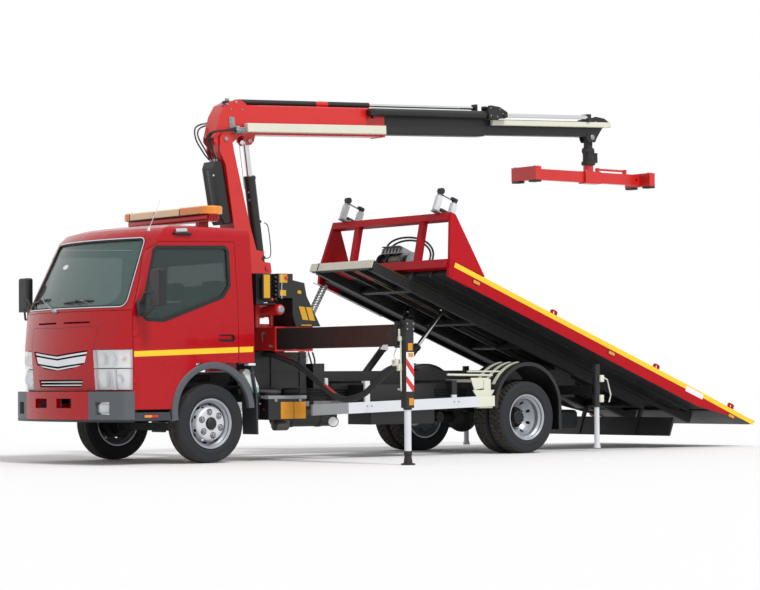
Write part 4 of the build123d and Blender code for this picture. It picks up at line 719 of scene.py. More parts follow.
makeCamera()
makeStage()
makeLight()
bpy.context.scene.view_settings.view_transform = "Standard"
print("camera, floor and light ready")


# CAD nodes with their finishes
nodeLooks = {
    # node: (finish, slot, eased edge)
    "chassis_frame": ("chassisPaint", "chassis_black", 0.003),
    "engine_block": ("castIron", "iron", 0.01),
    "front_axle": ("castIron", "iron", 0.002),
    "rear_axle": ("castIron", "iron", 0.002),
    "cab_shell": ("cabEnamel", "cab_red", 0.002),
    "front_panel": ("cabEnamel", "cab_red", 0.002),
    "left_door": ("cabEnamel", "cab_red", 0.002),
    "right_door": ("cabEnamel", "cab_red", 0.002),
    "mudguards": ("trimPlastic", "trim_black", 0.003),
    "chassis_boxes": ("blackPlastic", "chassis_black", 0.008),
    "side_guards": ("whitePaint", "guard_white", 0.004),
    "rear_fenders": ("blackPlastic", "trim_black", 0.002),
    "crane_base": ("craneCoat", "crane_red", 0.003),
    "crane_controls": ("blackPlastic", "chassis_black", 0.003),
    "tilt_frame": ("chassisPaint", "chassis_black", 0.003),
    "bed_deck": ("chassisPaint", "chassis_black", 0.002),
    "bed_sides": ("bedEnamel", "cab_red", 0.002),
    "headboard": ("bedEnamel", "cab_red", 0.004),
    "roller_posts": ("zinc", "galvanised", 0.004),
    "winch": ("zinc", "galvanised", 0.004),
    "tilt_barrels": ("chassisPaint", "chassis_black", 0.002),
    "tilt_rods": ("rodChrome", "rod_chrome", 0.001),
    "crane_column": ("craneCoat", "crane_red", 0.004),
    "hose_cover": ("blackPlastic", "trim_black", 0.012),
    "lift_barrel": ("blackPlastic", "chassis_black", 0.002),
    "lift_rod": ("rodChrome", "rod_chrome", 0.001),
    "boom_outer": ("craneCoat", "crane_red", 0.003),
    "boom_side_tube": ("creamPaint", "tube_cream", 0.006),
    "boom_inner_tube": ("creamPaint", "tube_cream", 0.006),
    "boom_middle": ("blackPlastic", "chassis_black", 0.003),
    "boom_inner": ("blackPlastic", "chassis_black", 0.003),
    "hook_link": ("castIron", "iron", 0.004),
    "spreader": ("craneCoat", "crane_red", 0.004),
    "front_bumper": ("cabEnamel", "cab_red", 0.004),
    "headlamps": ("whiteLens", "lamp_clear", 0.003),
    "grille": ("brightChrome", "rod_chrome", 0.002),
    "light_bar": ("amberLens", "amber", 0.004),
    "cab_interior": ("seatCloth", "seat", 0.02),
    "spare_wheel": ("tyreRubber", "tyre", 0.02),
}
for side in ("left", "right"):
    nodeLooks.update({
        f"{side}_mirror": ("blackPlastic", "trim_black", 0.002),
        f"{side}_knuckle": ("castIron", "iron", 0.002),
        f"front_{side}_rim": ("wheelSilver", "rim_silver", 0.002),
        f"rear_{side}_rims": ("wheelSilver", "rim_silver", 0.002),
        f"{side}_outrigger_beam": ("beamSteel", "chassis_black", 0.003),
        f"{side}_outrigger_leg": ("whitePaint", "guard_white", 0.002),
        f"rear_{side}_leg": ("whitePaint", "guard_white", 0.002),
    })
skins = {node: skin(node, finishName, edge) for node, (finishName, slot, edge) in nodeLooks.items()}
dress("cab_glass", "screenGlass")
dress("left_door_glass", "windowGlass")
dress("right_door_glass", "windowGlass")
for side in ("left", "right"):
    dress(f"front_{side}_tyre", "tyreRubber")
    dress(f"rear_{side}_tyres", "tyreRubber")
print("CAD nodes dressed", len(nodeLooks))


# cab outside: seals, wipers, lamps, trim, stripes
cab = {
    "screen": [(0.864, 1.49), (0.768, 2.118), (-0.768, 2.118), (-0.864, 1.49)],  # (y, z)
    "window": [(0.612, 2.025), (-0.19, 2.045), (-0.19, 1.69), (-0.11, 1.59), (0.56, 1.362), (0.775, 1.372),
        (0.755, 1.53)],  # (x, z)
    "rearWindow": [(0.55, 1.46), (0.55, 1.94), (-0.55, 1.94), (-0.55, 1.46)],  # (y, z)
    "arch": {"z": 0.49, "inner": 0.408, "outer": 0.474},
    "mirror": {"x": 0.775, "y": 1.215, "z": 1.65},
}


def sealOn(node, outline, corner, axisOf, way, profile, spread=0.004):
    # a seal round a pane: its outline grown a little, laid on the panel beside it
    path = dense(grown(roundCorners(outline, corner), spread), 0.08, True)
    starts = np.array([axisOf(u, v) for u, v in path])
    places, normals = onto(node, onTruck(starts), way)
    normals = (normals + np.roll(normals, 1, 0) + np.roll(normals, -1, 0)) / 3
    normals /= np.linalg.norm(normals, axis=1)[:, None]
    return sweep(profile, places, True, up=normals)


def frontOf(y, z):
    return 1.5, y, z


def behind(y, z):
    return -0.9, y, z


def leftOf(x, z):
    return x, 1.4, z


def rightOf(x, z):
    return x, -1.4, z


group("windscreenSeal", [sealOn("cab_shell", cab["screen"], 0.045, frontOf, (-1, 0, 0),
    strip((-0.013, -0.013), (0.013, 0.004)), 0.008)], "sealRubber", "chassis")
group("windscreenTrim", [sealOn("cab_shell", cab["screen"], 0.045, frontOf, (-1, 0, 0),
    strip((-0.005, 0.0), (0.005, 0.0065)), 0.014)], "brightChrome", "chassis")
group("rearWindowSeal", [sealOn("cab_shell", cab["rearWindow"], 0.06, behind, (1, 0, 0),
    strip((-0.012, -0.013), (0.012, 0.004)), 0.006)], "sealRubber", "chassis")
for (side, hand), beside in zip(hands, (leftOf, rightOf)):
    group(f"{side}WindowSeal", [sealOn(f"{side}_door", cab["window"], 0.04, beside, (0, -hand, 0),
        strip((-0.02, -0.013), (0.012, 0.003)), 0.008)], "sealRubber", f"{side}_door")
    # enamel plates over the hinges, in line with the door's skin
    inner, outer = span(hand, 0.9615, 0.9735)
    hinges = [block(at(0.836, inner, low), at(0.9, outer, low + 0.06), 0.002) for low in (0.76, 1.2)]
    group(f"{side}HingePlates", hinges, "cabEnamel", f"{side}_door")

# blank oval sticker low on the far half of the screen
stickerFoot, stickerOut = onto("cab_glass", onTruck([(1.5, -0.3, 1.89)]), (-1, 0, 0))
oval = np.array([(0, 0.052 * math.cos(t), 0.028 * math.sin(t))
    for t in np.linspace(0, 2 * math.pi, 25)[:-1]])
lean = np.array([(0, 0, 1.0)]) - stickerOut[0] * stickerOut[0][2]
oval = stickerFoot[0] + stickerOut[0] * 0.002 + oval[:, 1:2] * np.array([0, 1.0, 0]) + oval[:, 2:3] * lean
group("screenSticker", [flatPlate(oval, stickerOut[0], 0.0008)], "whiteTape", "chassis")

# wipers: pivot, arm tip and blade ends as (y, z) on the screen
wipers = [
    {"pivot": (-0.105, 1.452), "tip": (-0.497, 1.578), "blade": ((-0.86, 1.545), (-0.36, 1.577))},
    {"pivot": (0.613, 1.434), "tip": (0.285, 1.553), "blade": ((-0.02, 1.525), (0.44, 1.541))},
]
arms, blades = [], []
for wiper in wipers:
    (pivotY, pivotZ), (tipY, tipZ) = wiper["pivot"], wiper["tip"]
    foot, footWay = onto("cab_shell", onTruck([(1.5, pivotY, pivotZ)]), (-1, 0, 0))
    tip, _ = onto("cab_glass", onTruck([(1.5, tipY, tipZ)]), (-1, 0, 0))
    foot, tip, out = foot[0], tip[0], footWay[0]
    arms.append(turned([(0.0, -0.004), (0.02, -0.004), (0.02, 0.018), (0.014, 0.03), (0.0, 0.032)], foot,
        out, 16))
    knee = foot + (tip - foot) * 0.2 + out * 0.034
    arms.append(sweep(strip((-0.011, -0.005), (0.011, 0.005)), dense([foot + out * 0.026, knee], 0.03),
        up=out))
    arms.append(tube(dense([knee, foot + (tip - foot) * 0.6 + out * 0.05, tip + out * 0.034], 0.1), 0.0045))
    ends = dense([(1.5, *wiper["blade"][0]), (1.5, *wiper["blade"][1])], 0.05)
    line, normals = onto("cab_glass", onTruck(ends), (-1, 0, 0))
    blades.append(sweep(strip((-0.004, 0.001), (0.004, 0.014)), line, up=normals))
    bridge = line[1:-1] + normals[1:-1] * 0.018
    blades.append(sweep(strip((-0.007, -0.003), (0.007, 0.005)), bridge, up=normals[1:-1]))
    middle = line[len(line) // 2] + normals[len(line) // 2] * 0.026
    blades.append(block(middle - 0.012, middle + 0.012, 0.004))
group("wiperArms", arms, "zinc", "chassis", "trim_black")
group("wiperBlades", blades, "blackPlastic", "chassis")

# shut lines of the front panel, drawn as narrow black strips laid on it: painted shade standing for the
# dark inside the gaps
seams = [
    [(-0.6, 1.302), (0.0, 1.292), (0.6, 1.302)],
    [(0.6, 1.302), (0.565, 1.12), (0.555, 1.08)],
    [(-0.6, 1.302), (-0.565, 1.12), (-0.555, 1.08)],
]
shutLineShades = []
for line in seams:
    starts = dense([(1.5, y, z) for y, z in line], 0.05)
    places, normals = onto("front_panel", onTruck(starts), (-1, 0, 0))
    shutLineShades.append(sweep(strip((-0.002, -0.0005), (0.002, 0.0006)), places, up=normals))
group("frontShutLines", shutLineShades, "blackPlastic", "chassis")

# black panel behind the grille's mouths, with upright slats
backs = []
for low, high in ((0.88, 1.085), (0.725, 0.81)):
    turn = np.linspace(-0.2, 0.2, 13)
    radius = 2.475 if low > 0.8 else 2.46
    grid = np.array([[(-1.45 + radius * math.cos(a), radius * math.sin(a), z) for a in turn]
        for z in (low, high)])
    out = np.array([[(math.cos(a), math.sin(a), 0) for a in turn]] * 2)
    points, faces = sheet(onTruck(grid).reshape(2, 13, 3), out, 0.004, 0.004)
    backs.append((points, faces))
for n in range(17):
    a = -0.16 + n * 0.02
    foot = at(-1.45 + 2.485 * math.cos(a), 2.485 * math.sin(a), 0)
    backs.append(block(foot + [-0.012, -0.004, 0.89], foot + [0.012, 0.004, 1.07], 0.001))
group("grilleBacking", backs, "blackPlastic", "chassis")
radiator = [block(at(0.955, -0.33, 0.735), at(0.975, 0.33, 0.8), 0.002)]
radiator += [tube(onTruck([(0.99, y, 0.74), (0.985, y + 0.03, 0.8)]), 0.006)
    for y in np.linspace(-0.3, 0.27, 12)]
group("radiatorFace", radiator, "bareSteel", "chassis")

# headlamps: clear lenses over chrome bowls, bulbs and an amber indicator
lensCut = {"upper": (0.57, 0.925, 0.91, 1.075), "inner": (0.57, 0.782, 0.708, 0.898),
    "outer": (0.795, 0.925, 0.708, 0.898)}
skins["headlamps"].data.materials.clear()
skins["headlamps"].data.materials.append(finishes["lensGlass"])
for side, hand in hands:
    pans, chromes, ambers = [], [], []
    for name, (y0, y1, z0, z1) in lensCut.items():
        corners = [(1.5, hand * y0, z0), (1.5, hand * y1, z0), (1.5, hand * y1, z1), (1.5, hand * y0, z1)]
        places, normals = onto("headlamps", onTruck(cornerGrid(corners, 7, 9)), (-1, 0, 0))
        # the pan lies 40 mm behind the lens, ribbed up and down
        depth = 0.04 + 0.004 * np.cos(np.linspace(0, 9 * np.pi, 9))[None, :, None]
        places = places.reshape(7, 9, 3) - np.array([1, 0, 0]) * depth
        pans.append(sheet(places, normals.reshape(7, 9, 3), 0.0015))
    for y, z, radius in ((0.66, 0.985, 0.055), (0.79, 0.985, 0.055), (0.675, 0.805, 0.07),
        (0.855, 0.805, 0.045)):
        places, normals = onto("headlamps", onTruck([(1.5, hand * y, z)]), (-1, 0, 0))
        centre = places[0] - np.array([0.042, 0, 0])
        bowl = [(0.014, 0.002), (0.35 * radius, 0.006), (0.7 * radius, 0.014), (radius, 0.028),
            (radius, 0.031), (radius * 0.95, 0.031), (0.68 * radius, 0.018), (0.012, 0.006)]
        chromes.append(turned(bowl, centre, (1, 0.12 * hand, 0), 24))
        chromes.append(turned([(0.0, 0.0), (0.012, 0.002), (0.012, 0.02), (0.006, 0.026), (0, 0.027)],
            centre, (1, 0.12 * hand, 0), 12))
    places, normals = onto("headlamps", onTruck([(1.5, hand * 0.885, 0.99)]), (-1, 0, 0))
    ambers.append(turned([(0.0, 0.002), (0.016, 0.004), (0.018, 0.014), (0.01, 0.024), (0.0, 0.026)],
        places[0] - np.array([0.038, 0, 0]), (1, 0.1 * hand, 0), 14))
    group(f"{side}LampPans", pans, "whiteLens", "chassis")
    group(f"{side}LampBowls", chromes, "brightChrome", "chassis", "lamp_clear")
    group(f"{side}LampIndicator", ambers, "amberLens", "chassis")


def cornerX(y):
    # how far forward the bumper's slanted corner stands at y
    return 1.098 - (abs(y) - 0.66) * 0.52


# bumper: grey moulded corners round a body-coloured middle, fog lamps, a black lip below
for hand in (1, -1):
    low, high = span(hand, 0.57, 1.2)
    paint(skins["front_bumper"], "bumperPlastic", (0.5, low, 0.3), (1.4, high, 0.8))
paint(skins["front_bumper"], "blackPlastic", (0.5, -1.3, 0.3), (1.4, 1.3, 0.428))
fog, fogRims = [], []
for hand in (1, -1):
    outline = roundCorners([(hand * 0.662, 0.482), (hand * 0.818, 0.482), (hand * 0.818, 0.583),
        (hand * 0.662, 0.583)][::hand], 0.028, 4)
    # the lens is a shallow cushion of rings drawn in towards its middle, slanted as the corner is
    rings = []
    centre = outline.mean(0)
    for share, rise in ((1.0, -0.03), (1.0, 0.0), (0.92, 0.01), (0.6, 0.016), (0.2, 0.018)):
        ring = centre + (outline - centre) * share
        rings.append([(cornerX(y) - 0.028 + rise, y, z) for y, z in ring])
    count = len(outline)
    faces = gridFaces(5, count, False, True) + [list(range(4 * count, 5 * count)), list(range(count))[::-1]]
    fog.append((onTruck(np.concatenate(rings)), faces))
    rim = grown(outline, 0.004)
    fogRims.append(sweep(strip((-0.006, -0.008), (0.006, 0.008)),
        onTruck([(cornerX(y) - 0.022, y, z) for y, z in rim]), True, up=(1, 0, 0)))
group("fogLenses", fog, "whiteLens", "chassis")
group("fogRims", fogRims, "brightChrome", "chassis")
inside = []
for hand in (1, -1):
    low, high = span(hand, 0.1, 0.32)
    inside += [block(at(1.035, low, z - 0.005), at(1.06, high, z + 0.005), 0.002)
        for z in (0.552, 0.58, 0.606)]
    low, high = span(hand, 0.09, 0.33)
    inside.append(block(at(1.03, low, 0.53), at(1.036, high, 0.63), 0.001))
group("bumperSlats", inside, "bareSteel", "chassis")
# black tubes along the gap between the front panel's foot and the bumper's top: painted shade filling that
# gap
gapShadeTubes = [tube(onTruck(curved([(1.0, y, 0.69), (1.06, y * 0.55, 0.702), (1.075, 0, 0.704)], 5)),
    0.012) for y in (0.7, -0.7)]
group("stoneGuardPipe", gapShadeTubes, "blackPlastic", "chassis")

# wheel arch trims, sills and their reflectors
for side, hand in hands:
    ring = cab["arch"]
    angles = np.radians(np.linspace(-10, 176, 40))
    rows = []
    section = [(ring["outer"], 0.93), (ring["outer"], 0.972), (ring["outer"] - 0.012, 0.984),
        (ring["inner"] + 0.01, 0.984), (ring["inner"], 0.976), (ring["inner"], 0.93)]
    for a in angles:
        rows.append([(r * math.cos(a), hand * y, ring["z"] + r * math.sin(a)) for r, y in section])
    points = onTruck(np.array(rows))
    faces = gridFaces(len(angles), 6, False, True) + [list(range(6))[::-1],
        list(range(len(angles) * 6 - 6, len(angles) * 6))]
    newPiece(f"{side}ArchTrim", points, faces, "bumperPlastic", "chassis", "trim_black", 40)
    low, high = span(hand, 0.975, 0.981)
    reflector = [block(at(0.63, low, 0.445), at(0.78, high, 0.468), 0.002)]
    group(f"{side}SillReflector", reflector, "redTape", "chassis")
    group(f"{side}SillReflectorEnd",
        [block(at(0.7, low, 0.4445), at(0.7805, high + hand * 0.0005, 0.4685), 0.002)], "amberLens",
        "chassis")
    # yellow reflective stripe: door, then the panel behind it
    for name, node, body, x0, x1 in (("DoorStripe", f"{side}_door", f"{side}_door", 0.882, -0.278),
        ("RearStripe", "cab_shell", "chassis", -0.294, -0.455)):
        corners = onTruck([(x, hand * 1.3, 1.01 + (0.88 - x) * 0.034 + up)
            for x, up in ((x0, 0), (x1, 0), (x1, 0.052), (x0, 0.052))])
        part = laid(node, corners, (0, -hand, 0), 2, 9, 0.0012)
        group(side + name, [part], "yellowTape", body, "amber", 20)
    # handle: dark recess and pull
    low, high = span(hand, 0.86, 0.9738)
    paint(skins[f"{side}_door"], "blackPlastic", (-0.262, low, 1.13), (-0.03, high, 1.235))
    # mirror glass, in the rear recess of its head
    face = cab["mirror"]
    low, high = span(hand, face["y"] - 0.072, face["y"] + 0.072)
    glass = [block(at(face["x"] - 0.0375, low, face["z"] - 0.143), at(face["x"] - 0.0335, high,
        face["z"] + 0.143), 0.0012)]
    group(f"{side}MirrorGlass", glass, "rodChrome", f"{side}_door")
    # clamp bands and bolt heads on the mirror's arms
    clamps = [turned([(0.018, -0.014), (0.018, 0.014)], at(0.8, hand * 1.19, z), (0.3, -hand * 0.95, 0),
        16) for z in (1.505, 1.607)]
    clamps += [boltHeads(onTruck([(0.86, hand * 1.035, z), (0.815, hand * 1.035, z)]), (0, hand, 0),
        0.008, 0.006) for z in (1.41, 1.505)]
    group(f"{side}MirrorClamps", clamps, "blackPlastic", f"{side}_door")

# roof: whip aerial, side lamp over the door, light bar's lenses
aerial = [tube(onTruck([(0.655, 0.868, 2.205), (0.6, 0.885, 2.34), (0.547, 0.893, 2.483)]), 0.0028, 8),
    turned([(0.014, -0.01), (0.012, 0.012), (0.006, 0.03), (0.0, 0.031)], at(0.655, 0.868, 2.2),
    (-0.3, 0.1, 1), 14)]
group("aerial", aerial, "whitePaint", "chassis", "galvanised")
lampFoot = onto("cab_shell", onTruck([(0.31, 1.4, 2.175)]), (0, -1, 0))[0][0]
housing = [block(lampFoot + [-0.1, -0.012, -0.014], lampFoot + [0.1, 0.035, 0.012], 0.01),
    tube([lampFoot + [-0.03, 0.0, 0.0], lampFoot + [-0.03, 0.01, 0.04]], 0.01)]
group("roofSideLamp", housing, "blackPlastic", "chassis")
group("roofSideLampShade",
    [sweep(circle(0.021, 12), [lampFoot + [0.085, 0.018, 0.022], lampFoot + [-0.04, 0.018, 0.03]],
    up=(0, 0, 1))], "brightChrome", "chassis")
paint(skins["light_bar"], "cabEnamel", (-0.5, -0.9, 2.2), (0.2, 0.9, 2.386))
paint(skins["light_bar"], "creamLens", (-0.5, -0.6, 2.387), (0.2, 0.3, 2.55))
bars = []
for y in (-0.6, 0.3, -0.15):
    bars.append(sweep(strip((-0.002, -0.001), (0.002, 0.002)),
        onTruck([(-0.062, y, 2.392), (-0.062, y, 2.448), (-0.085, y, 2.467), (-0.275, y, 2.467),
        (-0.298, y, 2.448), (-0.298, y, 2.392)]), up=(0, 1, 0)))
bars.append(sweep(strip((-0.118, -0.004), (0.118, 0.004)),
    onTruck([(-0.18, -0.66, 2.388), (-0.18, 0.66, 2.388)])))
group("lightBarFrames", bars, "blackPlastic", "chassis")
group("lightBarBoard", [block(at(-0.262, -0.7, 2.335), at(-0.105, 0.7, 2.383), 0.008)], "craneCoat",
    "chassis")
# beacons seen through the lenses
beacons = [turned([(0.03, 0), (0.03, 0.05), (0.02, 0.06), (0, 0.062)], at(-0.18, y, 2.392), (0, 0, 1),
    16) for y in (-0.68, 0.68, 0.45)]
group("lightBarBeacons", beacons, "brightChrome", "chassis")
print("cab outside ready")


# wheels: tyres with tread, hub plates, nuts and caps
wheel = {
    "radius": 0.376, "frontY": 0.828, "outerY": 0.962, "innerY": 0.722, "base": 3.88,
    # (radius, place outboard): one side of the tyre from its bead to the tread's shoulder
    "side": [(0.2275, 0.079), (0.234, 0.084), (0.244, 0.085), (0.252, 0.092), (0.262, 0.0975),
        (0.272, 0.0985), (0.274, 0.1), (0.28, 0.1), (0.282, 0.099), (0.31, 0.1022), (0.33, 0.101),
        (0.334, 0.1015), (0.34, 0.1005), (0.348, 0.098), (0.358, 0.0935), (0.366, 0.088), (0.371, 0.083)],
    "treadHalf": 0.074, "lugs": 46,
}


def tyreMesh(x, y, hand, turns, columns, tread):
    # turned section; tread(angle, across) gives how deep the rubber is cut, across from -1 to 1
    side = np.array(wheel["side"])
    across = np.linspace(1, -1, columns)
    half = wheel["treadHalf"]
    crown = wheel["radius"] - 0.0035 * across ** 4
    section = np.concatenate([side, np.stack([crown, across * half], 1), side[::-1] * [1, -1]])
    spin = np.linspace(0, 2 * np.pi, turns, endpoint=False)
    radii = np.repeat(section[None, :, 0], turns, 0)
    cut = tread(spin[:, None], across[None, :])
    start = len(side)
    radii[:, start:start + columns] -= cut
    points = np.stack([radii * np.cos(spin)[:, None], np.repeat(section[None, :, 1], turns, 0) * hand,
        radii * np.sin(spin)[:, None]], -1)
    points = points + [ahead(x), hand * y, wheel["radius"]]
    count = len(section)
    faces = gridFaces(turns, count, True, True)
    onTread = [start - 1 <= n % count < start + columns for n in range(turns * count)]
    return points.reshape(-1, 3), faces, onTread


def ribs(angle, across):
    # four straight grooves round the tyre
    groove = sum(np.exp(-((across - place) / 0.055) ** 6) for place in (-0.62, -0.22, 0.22, 0.62))
    return 0.009 * np.clip(groove, 0, 1) + 0 * angle


def blocks(angle, across):
    # shoulder lugs, and zigzag grooves between rows of blocks
    phase = angle * wheel["lugs"] / (2 * np.pi)
    wave = np.abs((phase % 1) - 0.5) * 2
    shoulder = (np.abs(across) > 0.5) & (((phase + 0.35 * np.abs(across)) % 1) < 0.36)
    middle = (np.abs(across) <= 0.5) & (((phase + 0.5 + 0.8 * across) % 1) < 0.28)
    edgeCut = np.abs(np.abs(across) - 0.5 - 0.07 * wave) < 0.05
    zigzag = edgeCut | (np.abs(across - 0.08 * (wave - 0.5)) < 0.045)
    return 0.011 * (shoulder | middle | zigzag)


def fitTyre(name, node, body, places, tread, turns, columns):
    parts = [tyreMesh(x, y, hand, turns, columns, tread) for x, y, hand in places]
    points, faces = joined([part[:2] for part in parts])
    piece = newPiece(name, points, faces, "tyreRubber", body, "tyre", 40)
    piece.data.materials.append(finishes["treadRubber"])
    marks = np.concatenate([part[2] for part in parts]).astype(np.int32)
    piece.data.polygons.foreach_set("material_index", marks)
    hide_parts(node)


for side, hand in hands:
    fitTyre(f"front_{side}_tyreTread", f"front_{side}_tyre", f"front_{side}_wheel",
        [(0, wheel["frontY"], hand)], ribs, 128, 45)
    fitTyre(f"rear_{side}_tyreTread", f"rear_{side}_tyres", f"rear_{side}_wheels",
        [(-wheel["base"], wheel["outerY"], hand), (-wheel["base"], wheel["innerY"], hand)], blocks, 276, 33)

    # front: silver plate over the disc, recessed nuts, black cap, hand holes
    centre = at(0, hand * wheel["frontY"], wheel["radius"])
    out = (0, hand, 0)
    plate = [(0.056, 0.088), (0.062, 0.097), (0.1, 0.1), (0.135, 0.096), (0.156, 0.086), (0.163, 0.074),
        (0.164, 0.062), (0.158, 0.06), (0.15, 0.072), (0.1, 0.085), (0.056, 0.085)]
    group(f"front_{side}_hubPlate", [turned(plate, centre, out, 72)], "plateSilver", f"front_{side}_wheel")
    nuts, rings = [], []
    spins = np.radians(np.arange(6) * 60 + 20)
    for spin in spins:
        place = centre + [0.112 * math.cos(spin), 0, 0.112 * math.sin(spin)]
        rings.append(turned([(0.031, 0.09), (0.031, 0.1005), (0.027, 0.1025), (0.023, 0.0975),
            (0.023, 0.09)], place, out, 24))
        nuts.append(turned([(0.0, 0.09), (0.02, 0.092), (0.02, 0.104), (0.0165, 0.118), (0.008, 0.121),
            (0.0, 0.122)], place, out, 6))
    group(f"front_{side}_nutRings", rings, "castIron", f"front_{side}_wheel")
    group(f"front_{side}_nuts", nuts, "zinc", f"front_{side}_wheel", "galvanised", 25)
    cap = [(0.055, 0.08), (0.055, 0.104), (0.05, 0.114), (0.036, 0.12), (0.018, 0.122), (0.0, 0.1222)]
    group(f"front_{side}_hubCap", [turned(cap, centre, out, 40)], "blackPlastic", f"front_{side}_wheel")
    # hand holes: dark ovals on the disc's slope
    holeShades = []
    for spin in np.radians(np.arange(8) * 45 + 10):
        middle = np.array([0.183 * math.cos(spin), 0.032 * hand, 0.183 * math.sin(spin)]) + centre
        tangent = np.array([-math.sin(spin), 0, math.cos(spin)])
        slope = np.array([0.62 * math.cos(spin), -0.78 * hand, 0.62 * math.sin(spin)])
        turn = np.linspace(0, 2 * np.pi, 20, endpoint=False)
        outline = middle + np.cos(turn)[:, None] * tangent * 0.024 + np.sin(turn)[:, None] * slope * 0.0135
        # each oval is a black plate on the disc, not an opening: painted shade for the dark seen through a
        # hand hole
        holeShades.append(flatPlate(outline, np.cross(tangent, slope) * hand * -1, 0.004))
    group(f"front_{side}_handHoleShades", holeShades, "blackPlastic", f"front_{side}_wheel", "iron")
    valve = [tube(centre + np.array([(0.03, 0.03 * hand, -0.2), (0.018, 0.075 * hand, -0.185),
        (0.0, 0.095 * hand, -0.165)]), 0.0045),
        tube(centre + np.array([(0.0, 0.095 * hand, -0.165), (-0.018, 0.1 * hand, -0.16)]), 0.006)]
    group(f"front_{side}_valve", valve, "zinc", f"front_{side}_wheel")

    # rear: black hub with its nuts deep in the dish
    centre = at(-wheel["base"], 0, wheel["radius"])
    hub = [(0.108, 0.861), (0.108, 0.869), (0.07, 0.872), (0.067, 0.925), (0.058, 0.936), (0.0, 0.938),
        (0.0, 0.861)]
    group(f"rear_{side}_hubCap", [turned(hub, centre, out, 40)], "castIron", f"rear_{side}_wheels")
    studs = []
    for spin in spins:
        place = centre + [0.089 * math.cos(spin), 0, 0.089 * math.sin(spin)]
        studs.append(turned([(0.0, 0.868), (0.017, 0.869), (0.017, 0.889), (0.009, 0.891),
            (0.009, 0.903), (0, 0.904)], place, out, 6))
    for spin in np.radians(np.arange(8) * 45):
        place = centre + [0.05 * math.cos(spin), 0, 0.05 * math.sin(spin)]
        studs.append(turned([(0, 0.934), (0.008, 0.935), (0.008, 0.944), (0, 0.945)], place, out, 6))
    group(f"rear_{side}_nuts", studs, "castIron", f"rear_{side}_wheels", "iron", 25)
paint(skins["spare_wheel"], "wheelSilver", (-5.26, -0.203, 0.2), (-4.84, 0.203, 0.345))
print("wheels ready")


# chassis: bottle, tanks, tool box, wiring, guard fittings
bottle = {"y": (0.8, 0.806, 0.894, 0.9), "share": (0.93, 1, 1, 0.93), "shift": -0.03,
    "outline": [(-0.355, 0.86), (-0.4, 0.895), (-0.455, 0.88), (-0.5, 0.82), (-0.548, 0.72),
    (-0.552, 0.66), (-0.475, 0.66), (-0.44, 0.74)]}
outline = np.array([(x + bottle["shift"], 0.0, z) for x, z in roundCorners(bottle["outline"], 0.02, 4)])
middle = outline.mean(0)
rings = [middle + (outline - middle) * share + [0, y, 0] for share, y in zip(bottle["share"], bottle["y"])]
count = len(outline)
wall = (onTruck(np.concatenate(rings)), gridFaces(4, count, False, True) + [list(range(count))[::-1],
    list(range(3 * count, 4 * count))])
bottlePiece = group("washerBottle", [wall], "bottlePlastic", "chassis", "trim_black", 40)
paint(bottlePiece, "fluidTeal", (-0.7, 0.7, 0.6), (-0.3, 1.0, 0.715))
group("washerCap", [turned([(0.02, -0.02), (0.022, 0.01), (0.016, 0.018), (0, 0.019)],
    at(-0.49, 0.904, 0.855), (0, 1, 0.1), 20)], "zinc", "chassis", "trim_black")
# reservoir and its lid, ribbed air hose, battery switch and clips ahead of the tool box
lid = [turned([(0.0, -0.012), (0.115, -0.01), (0.12, 0.0), (0.1, 0.012), (0.0, 0.016)],
    at(-0.765, 0.8, 0.675), (0, 0.06, 1), 32)]
group("reservoirLid", lid, "bumperPlastic", "chassis")
body = [turned([(0.0, -0.15), (0.085, -0.15), (0.1, -0.03), (0.1, -0.012), (0.0, -0.012)],
    at(-0.765, 0.8, 0.67), (0, 0, 1), 28)]
body += [block(at(-0.62, 0.64, 0.44), at(-0.56, 0.86, 0.66), 0.01)]
group("reservoir", body, "blackPlastic", "chassis")
ribbed = [turned([(0.035, 0), (0.042, 0.006), (0.035, 0.012)], at(-0.93 - n * 0.0125, 0.8, 0.665),
    (-1, 0, 0), 20) for n in range(14)]
group("airHose", ribbed, "hoseRubber", "chassis")
group("batterySwitch", [turned([(0.024, 0), (0.024, 0.012), (0.012, 0.016), (0.01, 0.03), (0, 0.03)],
    at(-0.662, 0.88, 0.5), (0, 1, 0), 16)], "redTape", "chassis", "crane_red")
clips = [block(at(x, 0.86, z), at(x + 0.02, 0.9, z + 0.012), 0.003)
    for x, z in ((-0.665, 0.58), (-0.63, 0.61), (-0.6, 0.55))]
group("cableClips", clips, "zinc", "chassis")
# tool box: grey lid edge, two blank orange panels
group("toolBoxLid", [block(at(-1.095, 0.675, 0.6), at(-0.635, 0.972, 0.634), 0.006)], "greyPaint",
    "chassis")
panels = [block(at(low, 0.963, 0.408), at(high, 0.9685, 0.572), 0.003)
    for low, high in ((-0.938, -0.785), (-1.086, -0.945))]
group("toolBoxPanels", panels, "panelOrange", "chassis")
group("toolBoxLatches", [block(at(x, 0.963, 0.574), at(x + 0.03, 0.975, 0.602), 0.003)
    for x in (-0.74, -1.03)], "zinc", "chassis")
# white strip on the cab's lower rear corner
group("cabRearStrip", [block(at(-0.48, 0.9, 0.925), at(-0.4, 0.982, 0.947), 0.002)], "whiteTape", "chassis")
# bolts and pipes along the rails
bolts = []
for x in np.arange(-4.9, -0.7, 0.28):
    for z in (0.61, 0.73):
        bolts.append((x, 0.4095, z))
group("railBoltsLeft", [boltHeads(onTruck(bolts), (0, 1, 0))], "castIron", "chassis")
group("railBoltsRight", [boltHeads(onTruck([(x, -y, z) for x, y, z in bolts]), (0, -1, 0))], "castIron",
    "chassis")
pipes = []
for z in (0.64, 0.665, 0.69):
    line = [(-0.6, 0.425, z), (-1.6, 0.425, z), (-2.4, 0.425, z - 0.01), (-3.4, 0.427, z - 0.01),
        (-4.4, 0.425, z)]
    pipes.append(tube(onTruck(curved(line, 6)), 0.006))
group("brakePipes", pipes, "blackPlastic", "chassis")
